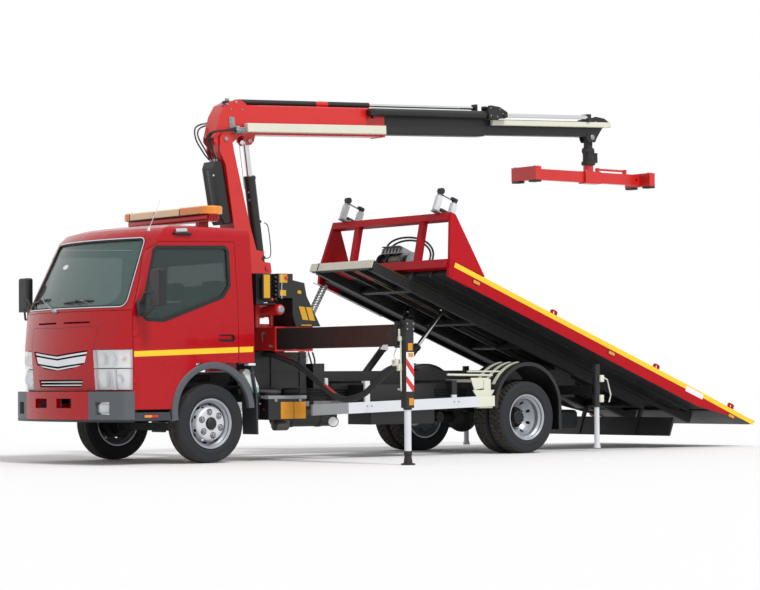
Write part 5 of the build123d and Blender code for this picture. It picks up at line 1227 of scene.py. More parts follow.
# side guard: grey front length, cream rear bracket
paint(skins["side_guards"], "greyPaint", (-1.52, -1.2, 0.3), (-1.0, 1.2, 0.62))
paint(skins["side_guards"], "creamPaint", (-3.6, -1.2, 0.3), (-3.2, 1.2, 0.9))
for side, hand in hands:
    extra = [flatPlate(onTruck([(x, hand * 1.04, z) for x, z in ((-3.15, 0.665), (-3.44, 0.665),
        (-3.395, 0.6), (-3.2, 0.6))]), (0, hand, 0), 0.012),
        sweep(circle(0.012, 10), onTruck([(-2.86, hand * 0.99, 0.825), (-3.46, hand * 0.99, 0.815)])),
        sweep(circle(0.009, 10), onTruck([(-3.16, hand * 0.95, 0.856), (-3.64, hand * 0.95, 0.854)])),
        flatPlate(onTruck([(x, hand * 1.02, z) for x, z in ((-3.14, 0.79), (-3.38, 0.79), (-3.41, 0.7),
        (-3.19, 0.665))]), (0, hand, 0), 0.01)]
    group(f"{side}GuardBracket", extra, "creamPaint", "chassis")
    group(f"{side}GuardBolts",
        [boltHeads(onTruck([(x, hand * 1.085, z) for x, z in ((-1.75, 0.52), (-1.81, 0.52),
        (-2.87, 0.55), (-2.93, 0.55))]), (0, hand, 0), 0.009, 0.005)], "zinc", "chassis")
    # three pale clamp strips over the fender's front shoulder
    strips = []
    for y in (0.72, 0.86, 0.99):
        turn = np.radians(np.linspace(98, 150, 9))
        path = onTruck([(-3.88 + 0.4665 * -math.cos(a), hand * y, 0.49 + 0.4665 * math.sin(a))
            for a in turn])
        strips.append(sweep(strip((-0.022, -0.003), (0.022, 0.004)), path,
            up=path - onTruck([(-3.88, hand * y, 0.49)])))
    group(f"{side}FenderStrips", strips, "creamPaint", "chassis")
    # rear flap's stiffener
    low, high = span(hand, 0.61, 1.08)
    group(f"{side}FlapBar", [block(at(-4.351, low, 0.44), at(-4.339, high, 0.47), 0.003)], "bareSteel",
        "chassis", "iron")
print("chassis details ready")


# free hoses and bundles, from one table
def routeLine(name, route):
    # the smooth line of a route whose points are the control points of a curve of order 3
    data = bpy.data.curves.new(name + "Route", "CURVE")
    data.dimensions = "3D"
    spline = data.splines.new("NURBS")
    spline.points.add(len(route) - 1)
    for point, place in zip(spline.points, route):
        point.co = (*place, 1)
    spline.order_u = 3
    spline.use_endpoint_u = True
    spline.resolution_u = 6
    line = bpy.data.objects.new(name + "Route", data)
    bpy.context.scene.collection.objects.link(line)
    mesh = bpy.data.meshes.new_from_object(line)
    path = np.array([vertex.co for vertex in mesh.vertices])
    bpy.data.objects.remove(line)
    bpy.data.curves.remove(data)
    bpy.data.meshes.remove(mesh)
    return path


def ringed(path, radius, pitch, depth, sides=12):
    # a corrugated sleeve: its radius rises and falls along the path
    path = dense(path, pitch / 4)
    way = np.concatenate([[0], np.cumsum(np.linalg.norm(np.diff(path, axis=0), axis=1))])
    sizes = 1 - depth / radius * (0.5 + 0.5 * np.cos(2 * np.pi * way / pitch))
    return sweep(circle(radius, sides), path, up=(0.13, 0.21, 0.97), sizes=sizes)


def hose(name, route, diameter, length, body, finishName="hoseRubber", onTo=None,
    corrugated=False, ends=True):
    # a free hose with its crimped ends; with onTo = (body, start, end) the hose rides on no body and its
    # head's crimp rides on that body
    path = routeLine(name, onTruck(route))
    radius = diameter / 2
    points, faces = ringed(path, radius, 0.012, 0.004) if corrugated else tube(path, radius, 10)
    piece = newPiece(name, points, faces, finishName, (body, *onTo) if onTo else body, "trim_black")
    if ends:
        crimp = [(radius * 0.7, -0.012), (radius * 1.3, -0.012), (radius * 1.3, 0.02),
            (radius * 1.1, 0.026), (radius * 0.9, 0.026)]
        for label, place, way, rides in (("Foot", path[0], path[1] - path[0], body),
            ("Head", path[-1], path[-2] - path[-1], onTo[0] if onTo else body)):
            group(f"{name}{label}", [turned(crimp, place, way, 10)], "zinc", rides)
    made = float(np.linalg.norm(np.diff(path, axis=0), axis=1).sum())
    print("hose", name, "runs", round(made, 3), "of", length)
    return piece


boomJoint = ("boom_outer", (-0.62, 0.0, 3.02), (-0.62, 0.0, 3.28))
columnHoses = [
    # foot (x, y) on the cover's top, size of the loop about its middle, end height, length
    {"foot": (-0.655, 0.045), "size": 1.0, "end": 3.302, "length": 0.68},
    {"foot": (-0.668, 0.066), "size": 0.84, "end": 3.286, "length": 0.65},
    {"foot": (-0.64, 0.066), "size": 0.68, "end": 3.317, "length": 0.62},
]
loopLine = [(-0.579, 0.075, 3.071), (-0.521, 0.095, 3.158), (-0.515, 0.122, 3.215),
    (-0.558, 0.142, 3.25), (-0.655, 0.15, 3.27)]
for n, row in enumerate(columnHoses):
    (footX, footY), size = row["foot"], row["size"]
    middle = np.array([-0.66, 0.0, 3.255])
    loop = [tuple(middle + (np.array(p) - middle) * [size, 1, size]) for p in loopLine]
    route = [(footX, footY, 2.966), (footX + 0.012, footY + 0.002, 3.0), *loop,
        (-0.78, 0.15, 3.276 + 0.3 * (row["end"] - 3.286)), (-0.875, 0.146, row["end"])]
    hose(f"boomFeedHose{n}", route, 0.016, row["length"], "column", onTo=boomJoint)
for n, (shift, rise) in enumerate(((0.0, 0.0), (0.026, 0.022))):
    route = [(-0.66 - shift, -0.02 - shift, 2.966), (-0.64 + shift / 2, -0.03 - shift, 3.01),
        (-0.6 + shift, -0.05 - shift, 3.1), (-0.568 + shift, -0.09 - shift, 3.18),
        (-0.562 + shift, -0.13 - shift / 2, 3.26 + rise), (-0.61 + shift, -0.145 - shift / 2,
        3.325 + rise), (-0.69, -0.142 - shift / 2, 3.345 + rise)]
    hose(f"boomReturnHose{n}", route, 0.016, 0.49 + 0.07 * n, "column", onTo=boomJoint)

# thick corrugated bundle from under the crane's tubes out to the left leg's valve
bundle = [(-0.88, 0.56, 1.045), (-0.88, 0.68, 1.038), (-0.89, 0.76, 1.02), (-0.925, 0.86, 0.985),
    (-0.965, 1.02, 0.925), (-0.99, 1.15, 0.845), (-1.0, 1.27, 0.775), (-1.0, 1.43, 0.69),
    (-1.0, 1.57, 0.62), (-1.0, 1.7, 0.592), (-1.0, 1.86, 0.605), (-1.0, 2.03, 0.652),
    (-0.99, 2.2, 0.745), (-0.98, 2.35, 0.835), (-0.96, 2.48, 0.886), (-0.93, 2.6, 0.905),
    (-0.922, 2.7, 0.905)]
legJoint = ("left_outrigger_beam", (-0.92, 0.9, 1.0), (-0.92, 2.45, 0.9))
hose("legFeedBundle", bundle, 0.062, 2.32, "chassis", onTo=legJoint,
    corrugated=True, ends=False)
bundlePath = routeLine("legBundle", onTruck(bundle))
wraps = []
for low, high in ((0.09, 0.2), (0.41, 0.5)):
    # red tape wound over the sleeve, between these shares of its length
    run = bundlePath[int(low * len(bundlePath)):int(high * len(bundlePath))]
    wraps.append(sweep(circle(0.0325, 12)[2:7].tolist() + (circle(0.03, 12)[2:7][::-1]).tolist(), run,
        up=(0.13, 0.21, 0.97)))
for n, wrap in enumerate(wraps):
    newPiece(f"bundleTape{n}", *wrap, "redTape", ("chassis", *legJoint), "cab_red")

# thin hose beside the lift cylinder, both ends on its ports
hose("liftLockHose", [(-1.288, 0.02, 2.372), (-1.305, 0.02, 2.366), (-1.325, 0.02, 2.33),
    (-1.338, 0.02, 2.25), (-1.35, 0.02, 2.16), (-1.356, 0.02, 2.08), (-1.348, 0.02, 2.035),
    (-1.318, 0.02, 2.018), (-1.292, 0.02, 2.016)], 0.01, 0.41, "lift_barrel")


# crane: paint, root, ears, fittings
def pressed(piece, change):
    # the same skin with its points moved by a rule
    mesh = piece.data
    points = np.array([vertex.co for vertex in mesh.vertices])
    mesh.vertices.foreach_set("co", change(points).ravel())
    mesh.update()


def drawRoot(points):
    # the boom's root drawn in towards its pivot: places ahead of the pivot keep 0.55 of their distance
    turn = math.radians(boom["rise"])
    x, z = points[:, 0] - ahead(boom["pivot"][0]), points[:, 2] - boom["pivot"][1]
    local = -x * math.cos(turn) + z * math.sin(turn)
    change = np.where(local < 0, -local * 0.45, 0)
    return points + np.stack([-change * math.cos(turn), np.zeros_like(x), change * math.sin(turn)], 1)


def drawTop(points):
    # the column's top narrows to half its depth about the pivot, between 2.95 and 3.1 m up
    share = np.clip((points[:, 2] - 2.95) / 0.15, 0, 1)
    x = ahead(boom["pivot"][0]) + (points[:, 0] - ahead(boom["pivot"][0])) * (1 - 0.45 * share)
    return np.stack([x, points[:, 1], points[:, 2]], 1)


pressed(skins["boom_outer"], drawRoot)
pressed(skins["crane_column"], drawTop)
paint(skins["boom_outer"], "blackPlastic", (0.28, -0.2, 0.352), (1.25, 0.2, 0.43), onBoom)
paint(skins["boom_outer"], "blackPlastic", (1.405, -0.2, 0.352), (2.0, 0.2, 0.43), onBoom)
paint(skins["boom_middle"], "rodChrome", (1.68, 0.02, 0.36), (3.385, 0.08, 0.42), onBoom)
paint(skins["boom_inner"], "rodChrome", (3.22, -0.18, 0.27), (4.885, -0.12, 0.33), onBoom)

ears = []
earOutline = roundCorners([(-0.668, 3.2), (-0.672, 3.06), (-0.738, 2.93), (-0.845, 2.24), (-1.052, 2.24),
    (-0.962, 2.585), (-0.842, 3.06), (-0.812, 3.2), (-0.772, 3.262), (-0.705, 3.262)], 0.035, 5)
for hand in (1, -1):
    plate = onTruck([(x, hand * 0.107, z) for x, z in earOutline])
    ears.append(flatPlate(plate, (0, hand, 0), 0.016))
    filler = onTruck([(x, hand * 0.088, z) for x, z in ((-0.735, 3.03), (-0.77, 2.7), (-0.92, 2.7),
        (-0.855, 3.03))])
    ears.append(flatPlate(filler, (0, hand, 0), 0.02))
group("columnEars", ears, "craneCoat", "column")
caps = []
for hand in (1, -1):
    caps.append(turned([(0.022, -0.002), (0.022, 0.01), (0.018, 0.014), (0.006, 0.015), (0.0, 0.013)],
        at(-0.74, hand * 0.123, 3.19), (0, hand, 0), 20))
group("pivotPinCaps", caps, "zinc", "column")
lugCaps = []
for hand in (1, -1):
    foot = onBoom([(0.32, -hand * 0.07, -0.008)])[0]
    lugCaps.append(turned([(0.024, -0.002), (0.024, 0.012), (0.019, 0.017), (0.0, 0.017)], foot,
        (0, hand, 0), 20))
    # cylinder's start pin at the top of the root, and two bolts under it
    for x, z, radius in ((0.155, 0.372, 0.015), (0.225, 0.3, 0.009), (0.085, 0.3, 0.009)):
        foot = onBoom([(x, -hand * 0.1, z)])[0]
        lugCaps.append(turned([(radius, -0.002), (radius, 0.008), (radius * 0.7, 0.011), (0.0, 0.011)],
            foot, (0, hand, 0), 12))
group("boomPinCaps", lugCaps, "zinc", "boom_outer")


# valve block on the root's back, with its caps and unions
rootValve = boxesOn(onBoom, [((0.055, -0.06, 0.335), (0.135, 0.01, 0.392)),
    ((0.02, -0.085, 0.325), (0.075, -0.03, 0.368))], 0.012)
group("rootValve", rootValve, "castIron", "boom_outer")
unions = []
for x, y, z, way in ((0.048, -0.085, 0.348, (0, -1, 0)), (0.105, -0.06, 0.372, (0, -1, 0)),
    (0.02, -0.06, 0.345, (-1, 0, 0)), (0.085, -0.03, 0.392, (0, 0, 1)), (0.115, -0.02, 0.39, (0, 0, 1))):
    foot, tip = onBoom([(x, y, z), tuple(np.array([x, y, z]) + np.array(way))])
    unions.append(turned([(0.014, -0.004), (0.014, 0.012), (0.01, 0.014), (0.01, 0.026), (0.0, 0.028)],
        foot, tip - foot, 6))
# unions where the feed hoses meet the cable tube, and the folded bracket that holds them
for n in range(3):
    foot, tip = onBoom([(0.132, -0.14, 0.078 + 0.016 * n), (1.132, -0.14, 0.078 + 0.016 * n)])
    unions.append(turned([(0.008, -0.01), (0.011, 0.0), (0.011, 0.03), (0.008, 0.032), (0.008, 0.095),
        (0, 0.096)], foot, tip - foot, 8))
group("boomUnions", unions, "zinc", "boom_outer")
bracketOutline = [(0.062, -0.1015, 0.225), (0.125, -0.1015, 0.222), (0.128, -0.1015, 0.15),
    (0.165, -0.1015, 0.112), (0.225, -0.1015, 0.108), (0.225, -0.1015, 0.062), (0.105, -0.1015, 0.062),
    (0.062, -0.1015, 0.13)]
bracket = [flatPlate(onBoom(bracketOutline), (0, 1, 0), 0.005)]
bracket += boxesOn(onBoom, [((0.105, -0.168, 0.058), (0.232, -0.102, 0.063))], 0.001)
bracket += [boltHeads(onBoom([(0.085, -0.1065, 0.2), (0.085, -0.1065, 0.155), (0.2, -0.1065, 0.085)]),
    (0, 1, 0), 0.009, 0.007)]
group("hoseBracket", bracket, "zinc", "boom_outer")
# rims of the cable tubes and a seam bead along each
tubeTrim = []
for low, high, y, z0, z1 in ((0.24, 2.01, -0.17, 0.07, 0.16), (3.5, 5.262, -0.146, 0.191, 0.249)):
    for x in (low + 0.004, high - 0.01):
        tubeTrim += boxesOn(onBoom, [((x, y - 0.002, z0 - 0.002), (x + 0.006, y + 0.03, z1 + 0.002))],
            0.001)
    tubeTrim += boxesOn(onBoom,
        [((low + 0.02, y - 0.0012, z0 + 0.008), (high - 0.02, y + 0.001, z0 + 0.012))], 0.0005)
for body, parts in (("boom_outer", tubeTrim[:3]), ("boom_inner", tubeTrim[3:])):
    group(body + "TubeTrim", parts, "creamPaint", body)

# elbow hood on the near cylinder
hood = boxesOn(onBoom, [((1.8, -0.19, 0.262), (1.87, -0.11, 0.338)),
    ((1.835, -0.175, 0.235), (1.865, -0.125, 0.27))], 0.012)
group("cylinderHood", hood, "blackPlastic", "boom_middle", "chassis_black")
# hose cover: ribbed front with pale slots, two screws
(lowX, lowZ), (highX, highZ) = (-0.6905, 2.405), (-0.602, 2.89)
slope = np.array([highX - lowX, 0, highZ - lowZ])
slope /= np.linalg.norm(slope)
outward = np.array([slope[2], 0, -slope[0]])
ribs, slots = [], []
for n in range(23):
    middle = at(lowX, 0, lowZ) + slope * (0.03 + 0.0195 * n) + outward * 0.0005
    ribs.append(sweep(strip((-0.003, -0.001), (0.003, 0.003)),
        [middle + [0, -0.062, 0], middle + [0, 0.062, 0]], up=outward))
    if n > 3:
        slot = middle + slope * 0.0095
        slots.append(sweep(strip((-0.0026, 0.001), (0.0026, 0.0042)),
            [slot + [0, -0.016, 0], slot + [0, 0.016, 0]], up=outward))
edges = [sweep(strip((-0.003, -0.001), (0.003, 0.004)), [at(lowX, y, lowZ) + slope * 0.02,
    at(highX, y, highZ) - slope * 0.01], up=outward) for y in (-0.066, 0.066)]
group("coverRibs", ribs + edges, "trimPlastic", "column")
group("coverSlots", slots, "greyPaint", "column", "galvanised")
screws = boltHeads([at(lowX, y, lowZ) + slope * 0.425 for y in (-0.092, 0.092)], outward, 0.012, 0.008)
group("coverScrews", [screws], "brightChrome", "column")

# lift cylinder: gland ring, ports, position rod
liftFoot, liftEye = np.array([-1.232, 0.0, 1.91]), np.array([-1.06, 0.0, 3.195])
liftWay = (liftEye - liftFoot) / np.linalg.norm(liftEye - liftFoot)
liftSide = np.cross(liftWay, (0, 1, 0))
glandFoot = onTruck([liftFoot + liftWay * 0.935])[0]
gland = [turned([(0.036, -0.004), (0.05, -0.002), (0.058, 0.004), (0.052, 0.012), (0.036, 0.012)],
    glandFoot, liftWay, 28)]
for share in (0.78, 0.7):
    place = onTruck([liftFoot + liftWay * share - liftSide * 0.052 + [0, 0.03, 0]])[0]
    gland.append(turned([(0.01, -0.006), (0.01, 0.008), (0.006, 0.01), (0.0, 0.01)], place,
        -liftSide + [0, 0.5, 0], 6))
group("liftPorts", gland, "zinc", "lift_barrel")
bosses = []
for share in (0.474, 0.108):
    place = onTruck([liftFoot + liftWay * share + liftSide * 0.052 + [0, 0.02, 0]])[0]
    bosses.append(turned([(0.014, -0.008), (0.014, 0.012), (0.01, 0.014), (0, 0.014)], place, liftSide, 8))
group("liftBosses", bosses, "blackPlastic", "lift_barrel", "chassis_black")
rodFoot = onTruck([liftFoot + liftWay * 0.82 - liftSide * 0.077])[0]
rodTop = onTruck([liftEye - liftWay * 0.035 - liftSide * 0.077])[0]
group("positionRod", [tube([rodFoot, rodTop], 0.0045, 8)], "rodChrome", "lift_rod")

# boom head: bolts of the middle section, pin caps and bolts of the neck
headBolts = [boltHeads(onBoom([(x, -0.208, z) for x, z in ((3.43, 0.29), (3.43, 0.37), (3.52, 0.28),
    (3.56, 0.36), (3.6, 0.31))]), (0, 1, 0), 0.009, 0.006)]
group("headBolts", headBolts, "zinc", "boom_middle")
neckTrim = []
for hand in (1, -1):
    foot, tip = onBoom([(5.04, -hand * 0.07, 0.085), (5.04, -hand * 1.07, 0.085)])
    neckTrim.append(turned([(0.03, -0.002), (0.03, 0.008), (0.024, 0.012), (0.0, 0.012)], foot,
        tip - foot, 20))
    neckTrim.append(boltHeads(onBoom([(x, -hand * 0.07, z)
        for x, z in ((4.99, 0.225), (5.1, 0.26), (5.19, 0.25))]), tip - foot, 0.01, 0.007))
group("neckPinCaps", neckTrim, "zinc", "boom_inner")
print("boom and hoses ready")


# crane base, controls and outriggers
basePaints = [
    # piece, finish, low, high
    ("crane_controls", "craneCoat", (-0.705, 0.7, 1.3), (-0.645, 0.75, 1.53)),
    ("left_outrigger_beam", "chassisPaint", (-1.0, 2.66, 0.4), (-0.8, 2.9, 1.4)),
    ("left_outrigger_beam", "chassisPaint", (-1.1, 0.5, 0.9), (-0.7, 1.78, 1.4)),
    ("side_guards", "chassisPaint", (-3.1, -1.0, 0.6), (-1.3, 1.0, 0.9)),
    ("side_guards", "chassisPaint", (-3.05, -1.2, 0.62), (-2.6, 1.2, 0.9)),
    ("right_outrigger_beam", "chassisPaint", (-1.3, -2.9, 0.4), (-1.05, -2.66, 1.4)),
    ("left_outrigger_leg", "castIron", (-1.1, 2.6, -0.1), (-0.8, 2.9, 0.128)),
    ("right_outrigger_leg", "castIron", (-1.3, -2.9, -0.1), (-1.0, -2.6, 0.128)),
]
for node, finishName, low, high in basePaints:
    paint(skins[node], finishName, low, high)


def panels(name, rows, finishName, body, slot=None, thick=0.0012):
    # flat films: each row is its corners in the truck's frame and its outward way
    parts = [flatPlate(onTruck(corners), way, thick) for corners, way in rows]
    return group(name, parts, finishName, body, slot)


def onLeg(side, rows, lift):
    # films on the outer face of a leg's box: u runs back across it from 0 to 1
    leg = legs[side]
    hand, x0 = leg["hand"], leg["x"] + legHalf
    y = hand * (leg["y"] + lift)
    return [([(x0 - 2 * legHalf * u, y, z) for u, z in row], (0, hand, 0)) for row in rows]


legs = {"left": {"x": -0.92, "y": 2.8, "hand": 1}, "right": {"x": -1.15, "y": 2.8, "hand": -1}}
legHalf = 0.0445
for side, leg in legs.items():
    hand, face = leg["hand"], leg["hand"] * leg["y"]
    body = f"{side}_outrigger_beam"
    white = onLeg(side, [[(0, 1.03), (1, 1.03), (1, 0.67), (0, 0.67)]], 0.0003)
    red = onLeg(side, [[(0, 0.978), (0, 0.912), (1, 0.801), (1, 0.873)],
        [(0, 0.814), (0, 0.755), (0.8, 0.67), (1, 0.67), (1, 0.722)]], 0.0012)
    yellow = onLeg(side, [[(0.22, 1.045), (0.82, 1.045), (0.82, 1.112), (0.22, 1.112)],
        [(0.28, 0.985), (0.88, 0.985), (0.88, 1.022), (0.28, 1.022)], [(0.32, 0.545), (0.92, 0.545),
        (0.92, 0.61), (0.32, 0.61)]], 0.002)
    panels(f"{side}LegWhite", white, "whiteTape", body)
    panels(f"{side}LegRed", red, "redTape", body, "cab_red")
    panels(f"{side}LegYellow", yellow, "panelOrange", body)
    # lock valve, its pipe down the leg, and the clamp at the beam's end
    frontX = leg["x"] + 0.045
    pale = boxesOn(onTruck, [((frontX, face - hand * 0.105 - 0.03, 1.172),
        (frontX + 0.03, face - hand * 0.105 + 0.03, 1.245)),
        ((frontX, face - hand * 0.075 - 0.022, 1.13), (frontX + 0.035, face - hand * 0.075 + 0.022,
        1.176)), ((frontX, face - hand * 0.12 - 0.035, 0.905),
        (frontX + 0.05, face - hand * 0.12 + 0.035, 0.965)), ((frontX, face - hand * 0.075 - 0.02, 0.86),
        (frontX + 0.04, face - hand * 0.075 + 0.02, 0.925))], 0.008)
    pale.append(tube(onTruck([(frontX + 0.012, face - hand * 0.062, z)
        for z in (1.13, 0.96, 0.8, 0.675)]), 0.007, 8))
    pale.append(tube(onTruck(curved([(frontX + 0.012, face - hand * 0.09, 0.95),
        (frontX + 0.03, face - hand * 0.14, 0.99), (frontX + 0.02, face - hand * 0.12, 1.06),
        (frontX + 0.012, face - hand * 0.07, 1.09)], 6)), 0.005, 8))
    group(f"{side}LegValve", pale, "creamPaint", body)
    unionsLeg = [turned([(0.011, -0.004), (0.011, 0.012), (0.008, 0.02), (0, 0.02)],
        at(frontX + 0.03, face - hand * d, z), (1, 0, 0), 6)
        for d, z in ((0.105, 1.22), (0.09, 1.19), (0.12, 0.94), (0.075, 0.885), (0.062, 0.69))]
    unionsLeg.append(boltHeads(onTruck([(leg["x"] + dx, face + hand * 0.006, z) for dx in (-0.035, 0.035)
        for z in (1.29, 1.24)]), (0, hand, 0), 0.009, 0.006))
    group(f"{side}LegUnions", unionsLeg, "zinc", body)
    stop = [flatPlate(onTruck([(leg["x"] + 0.095, face - hand * d, z)
        for d, z in ((0.315, 1.06), (0.27, 1.1), (0.2, 1.1), (0.2, 1.05))]), (1, 0, 0), 0.006)]
    group(f"{side}BeamStop", stop, "whitePaint", body)
    collar = [turned([(0.034, -0.012), (0.04, -0.012), (0.04, 0.006), (0.034, 0.01)],
        at(leg["x"], face - hand * 0.04, 0.516), (0, 0, 1), 24)]
    group(f"{side}LegGland", collar, "castIron", body)

# controls: yellow panel with knobs on the valve block, panels and a red button on the box, two on the cover
yellowRows = [
    ([(-0.56, 1.0125, 1.575), (-0.632, 1.0125, 1.575), (-0.632, 1.0125, 1.8), (-0.56, 1.0125, 1.8)],
        (0, 1, 0)),
    ([(-0.765, 0.9855, 1.727), (-0.858, 0.9855, 1.727), (-0.858, 0.9855, 1.808),
        (-0.765, 0.9855, 1.808)], (0, 1, 0)),
    ([(-0.77, 0.9855, 1.6), (-0.842, 0.9855, 1.6), (-0.842, 0.9855, 1.655), (-0.77, 0.9855, 1.655)],
        (0, 1, 0)),
]
panels("controlPanelsLeft", yellowRows, "panelYellow", "chassis")
coverRows = [([(-1.118, y0, 1.5645), (-1.118, y1, 1.5645), (-1.235, y1, 1.357), (-1.235, y0, 1.357)],
    (-0.87, 0, 0.49)) for y0, y1 in ((0.66, 0.79), (0.82, 0.95))]
panels("coverPanels", coverRows, "panelYellow", "chassis")
sideRows = [([(x0, 0.9805, z0), (x1, 0.9805, z0 + dz), (x1 - 0.045, 0.9805, z0 + dz - 0.13),
    (x0 - 0.045, 0.9805, z0 - 0.13)], (0, 1, 0)) for x0, x1, z0, dz in ((-0.998, -1.068, 1.5, -0.005),
    (-1.083, -1.15, 1.495, -0.005))]
sideRows.append(([(-0.985, 0.9805, 1.625), (-1.028, 0.9805, 1.622), (-1.028, 0.9805, 1.652),
    (-0.985, 0.9805, 1.655)], (0, 1, 0)))
sideRows.append(([(-1.03, 0.9805, 1.312), (-1.15, 0.9805, 1.312), (-1.15, 0.9805, 1.322),
    (-1.03, 0.9805, 1.322)], (0, 1, 0)))
panels("coverSidePanels", sideRows, "panelYellow", "chassis")
redKnobs = [turned([(0.018, 0), (0.018, 0.012), (0.014, 0.018), (0, 0.02)], at(-0.842, 0.9855, 1.776),
    (0, 1, 0), 18), turned([(0.013, 0), (0.013, 0.012), (0, 0.016)], at(-0.662, 1.0, 1.562), (0, 1, 0), 16)]
group("redButtons", redKnobs, "redLens", "chassis")
knobs = [turned([(0.012, 0), (0.014, 0.012), (0.01, 0.024), (0, 0.027)],
    at(-0.695, 1.0115, 1.56 + 0.042 * n), (0.2, 1, 0.1), 14) for n in range(6)]
knobs += boxesOn(onTruck, [((-0.642, 0.985, 1.562), (-0.548, 1.0115, 1.812))], 0.004)
group("leverKnobs", knobs, "blackPlastic", "chassis")
strap = [tube(onTruck([(-0.79, 0.988, z) for z in (1.815, 1.7, 1.57)]), 0.0035, 6)]
group("panelStrap", strap, "whitePaint", "chassis")
# slewing cylinder's outer case with its light cap, the red post beside it, and the beams' locking pins
slewCases, slewCaps, lockPins = [], [], []
caseFoot = at(-0.795, 0.545, 1.467)
slewCases.append(turned([(0.0, 0), (0.054, 0), (0.054, 0.4), (0.048, 0.415), (0.0, 0.415)], caseFoot,
    (0, 1, 0), 28))
slewCaps.append(turned([(0.0, 0.412), (0.036, 0.412), (0.036, 0.424), (0.028, 0.43), (0, 0.43)],
    caseFoot, (0, 1, 0), 24))
for hand, x in ((1, -0.87), (-1, -1.17)):
    slewCaps.append(turned([(0.036, -0.002), (0.036, 0.008), (0.026, 0.012), (0, 0.012)],
        at(x, hand * 0.545, 1.467), (0, hand, 0), 24))
slewCases += boxesOn(onTruck, [((-0.825, 0.768, 1.3), (-0.79, 0.8, 1.54))], 0.003)
group("slewCylinderCase", slewCases, "craneCoat", "chassis")
group("slewCylinderCaps", slewCaps, "zinc", "chassis")
for hand, x in ((1, -0.814), (-1, -1.256)):
    for place, z in ((0.66, 1.245), (0.78, 1.115)):
        foot = at(x, hand * place, z)
        lockPins.append(turned([(0.016, 0), (0.016, 0.006), (0.007, 0.008), (0.007, 0.03), (0.0, 0.031)],
            foot, (hand, 0, 0), 14))
    handle = [(x + hand * out, hand * y, z) for out, y, z in ((0.02, 0.66, 1.245), (0.03, 0.665, 1.2),
        (0.02, 0.66, 1.16))]
    lockPins.append(tube(onTruck(curved(handle, 5)), 0.004, 6))
group("beamLockPins", lockPins, "zinc", "chassis")

# work lamp under the guard, chassis filters and pipes near the cab
lamp = [turned([(0.0, -0.03), (0.035, -0.028), (0.052, -0.004), (0.055, 0.004), (0.0, 0.004)],
    at(-1.392, 1.0, 0.372), (0.55, 0.8, -0.1), 24)]
lamp += [tube(onTruck([(-1.4, 0.985, 0.4), (-1.385, 0.99, 0.44), (-1.37, 1.05, 0.45)]), 0.008, 8)]
group("workLamp", lamp, "blackPlastic", "chassis")
group("workLampLens", [turned([(0.0, 0.004), (0.048, 0.004), (0.042, 0.01), (0.0, 0.014)],
    at(-1.392, 1.0, 0.372), (0.55, 0.8, -0.1), 24)], "whiteLens", "chassis")
filters = boxesOn(onTruck, [((-1.42, 0.5, 0.955), (-1.375, 0.56, 1.075))], 0.006)
filters += [turned([(0.024, 0), (0.028, 0.01), (0.028, 0.09), (0.02, 0.1), (0, 0.1)], at(-1.6, 0.6, 0.7),
    (0, 0, 1), 18)]
group("fuelFilters", filters, "whitePaint", "chassis")
lines = [tube(onTruck(curved(row, 5)), 0.009, 8) for row in (
    [(-1.5, 0.52, 1.06), (-1.52, 0.53, 0.98), (-1.5, 0.55, 0.9)],
    [(-1.46, 0.5, 1.07), (-1.47, 0.52, 1.0), (-1.46, 0.56, 0.94)])]
group("chassisPipesUpright", lines, "blackPlastic", "chassis")
exhaust = [turned([(0.052, 0), (0.058, 0.004), (0.058, 0.15), (0.05, 0.16), (0.0, 0.16)],
    at(-0.95, 0.62, 0.345), (-1, 0, 0), 24)]
group("exhaustCan", exhaust, "bareSteel", "chassis")
print("crane base ready")


# bed, headboard, winch and posts
paint(skins["tilt_frame"], "creamPaint", (2.885, -0.6, -0.02), (2.9, 0.6, 0.08), onBed)
paint(skins["winch"], "castIron", (1.9, -0.3, 0.2), (2.5, -0.09, 0.43), onBed)
paint(skins["winch"], "castIron", (1.9, 0.09, 0.2), (2.5, 0.13, 0.43), onBed)
paint(skins["winch"], "castIron", (1.9, 0.215, 0.2), (2.5, 0.25, 0.5), onBed)
paint(skins["roller_posts"], "blackPlastic", (2.46, -0.9, 0.945), (2.56, 0.9, 1.03), onBed)
paint(skins["roller_posts"], "blackPlastic", (2.2, -0.9, 0.94), (2.36, 0.9, 1.03), onBed)
for low, high in ((0.9, 1.114), (-1.114, -0.9)):
    paint(skins["bed_sides"], "chassisPaint", (-2.4, low, -0.3), (2.05, high, 0.2), onBed)
edges = []
for hand in (1, -1):
    for y, z in ((0.4865, 0.07), (0.4865, -0.122)):
        low, high = span(hand, y, y + 0.004)
        edges += boxesOn(onBed, [((1.85, low, z), (2.835, high, z + 0.006))], 0.001)
group("railEdges", edges, "bronzeEdge", "tilt_frame")
strapFront = boxesOn(onBed, [((2.8935, -0.4, -0.014), (2.8965, -0.385, 0.074))], 0.001)
group("frontStrap", strapFront, "blackPlastic", "tilt_frame")
# wear strips and red feet seen under the deck between the rails
patches = boxesOn(onBed, [((2.5, -0.36, 0.045), (2.72, -0.2, 0.058)),
    ((2.45, -0.05, 0.045), (2.7, 0.09, 0.058)), ((2.06, -0.32, 0.045), (2.22, -0.2, 0.058)),
    ((2.1, 0.02, 0.045), (2.26, 0.14, 0.058))], 0.003)
group("underbedFeet", patches, "bedEnamel", "tilt_frame")

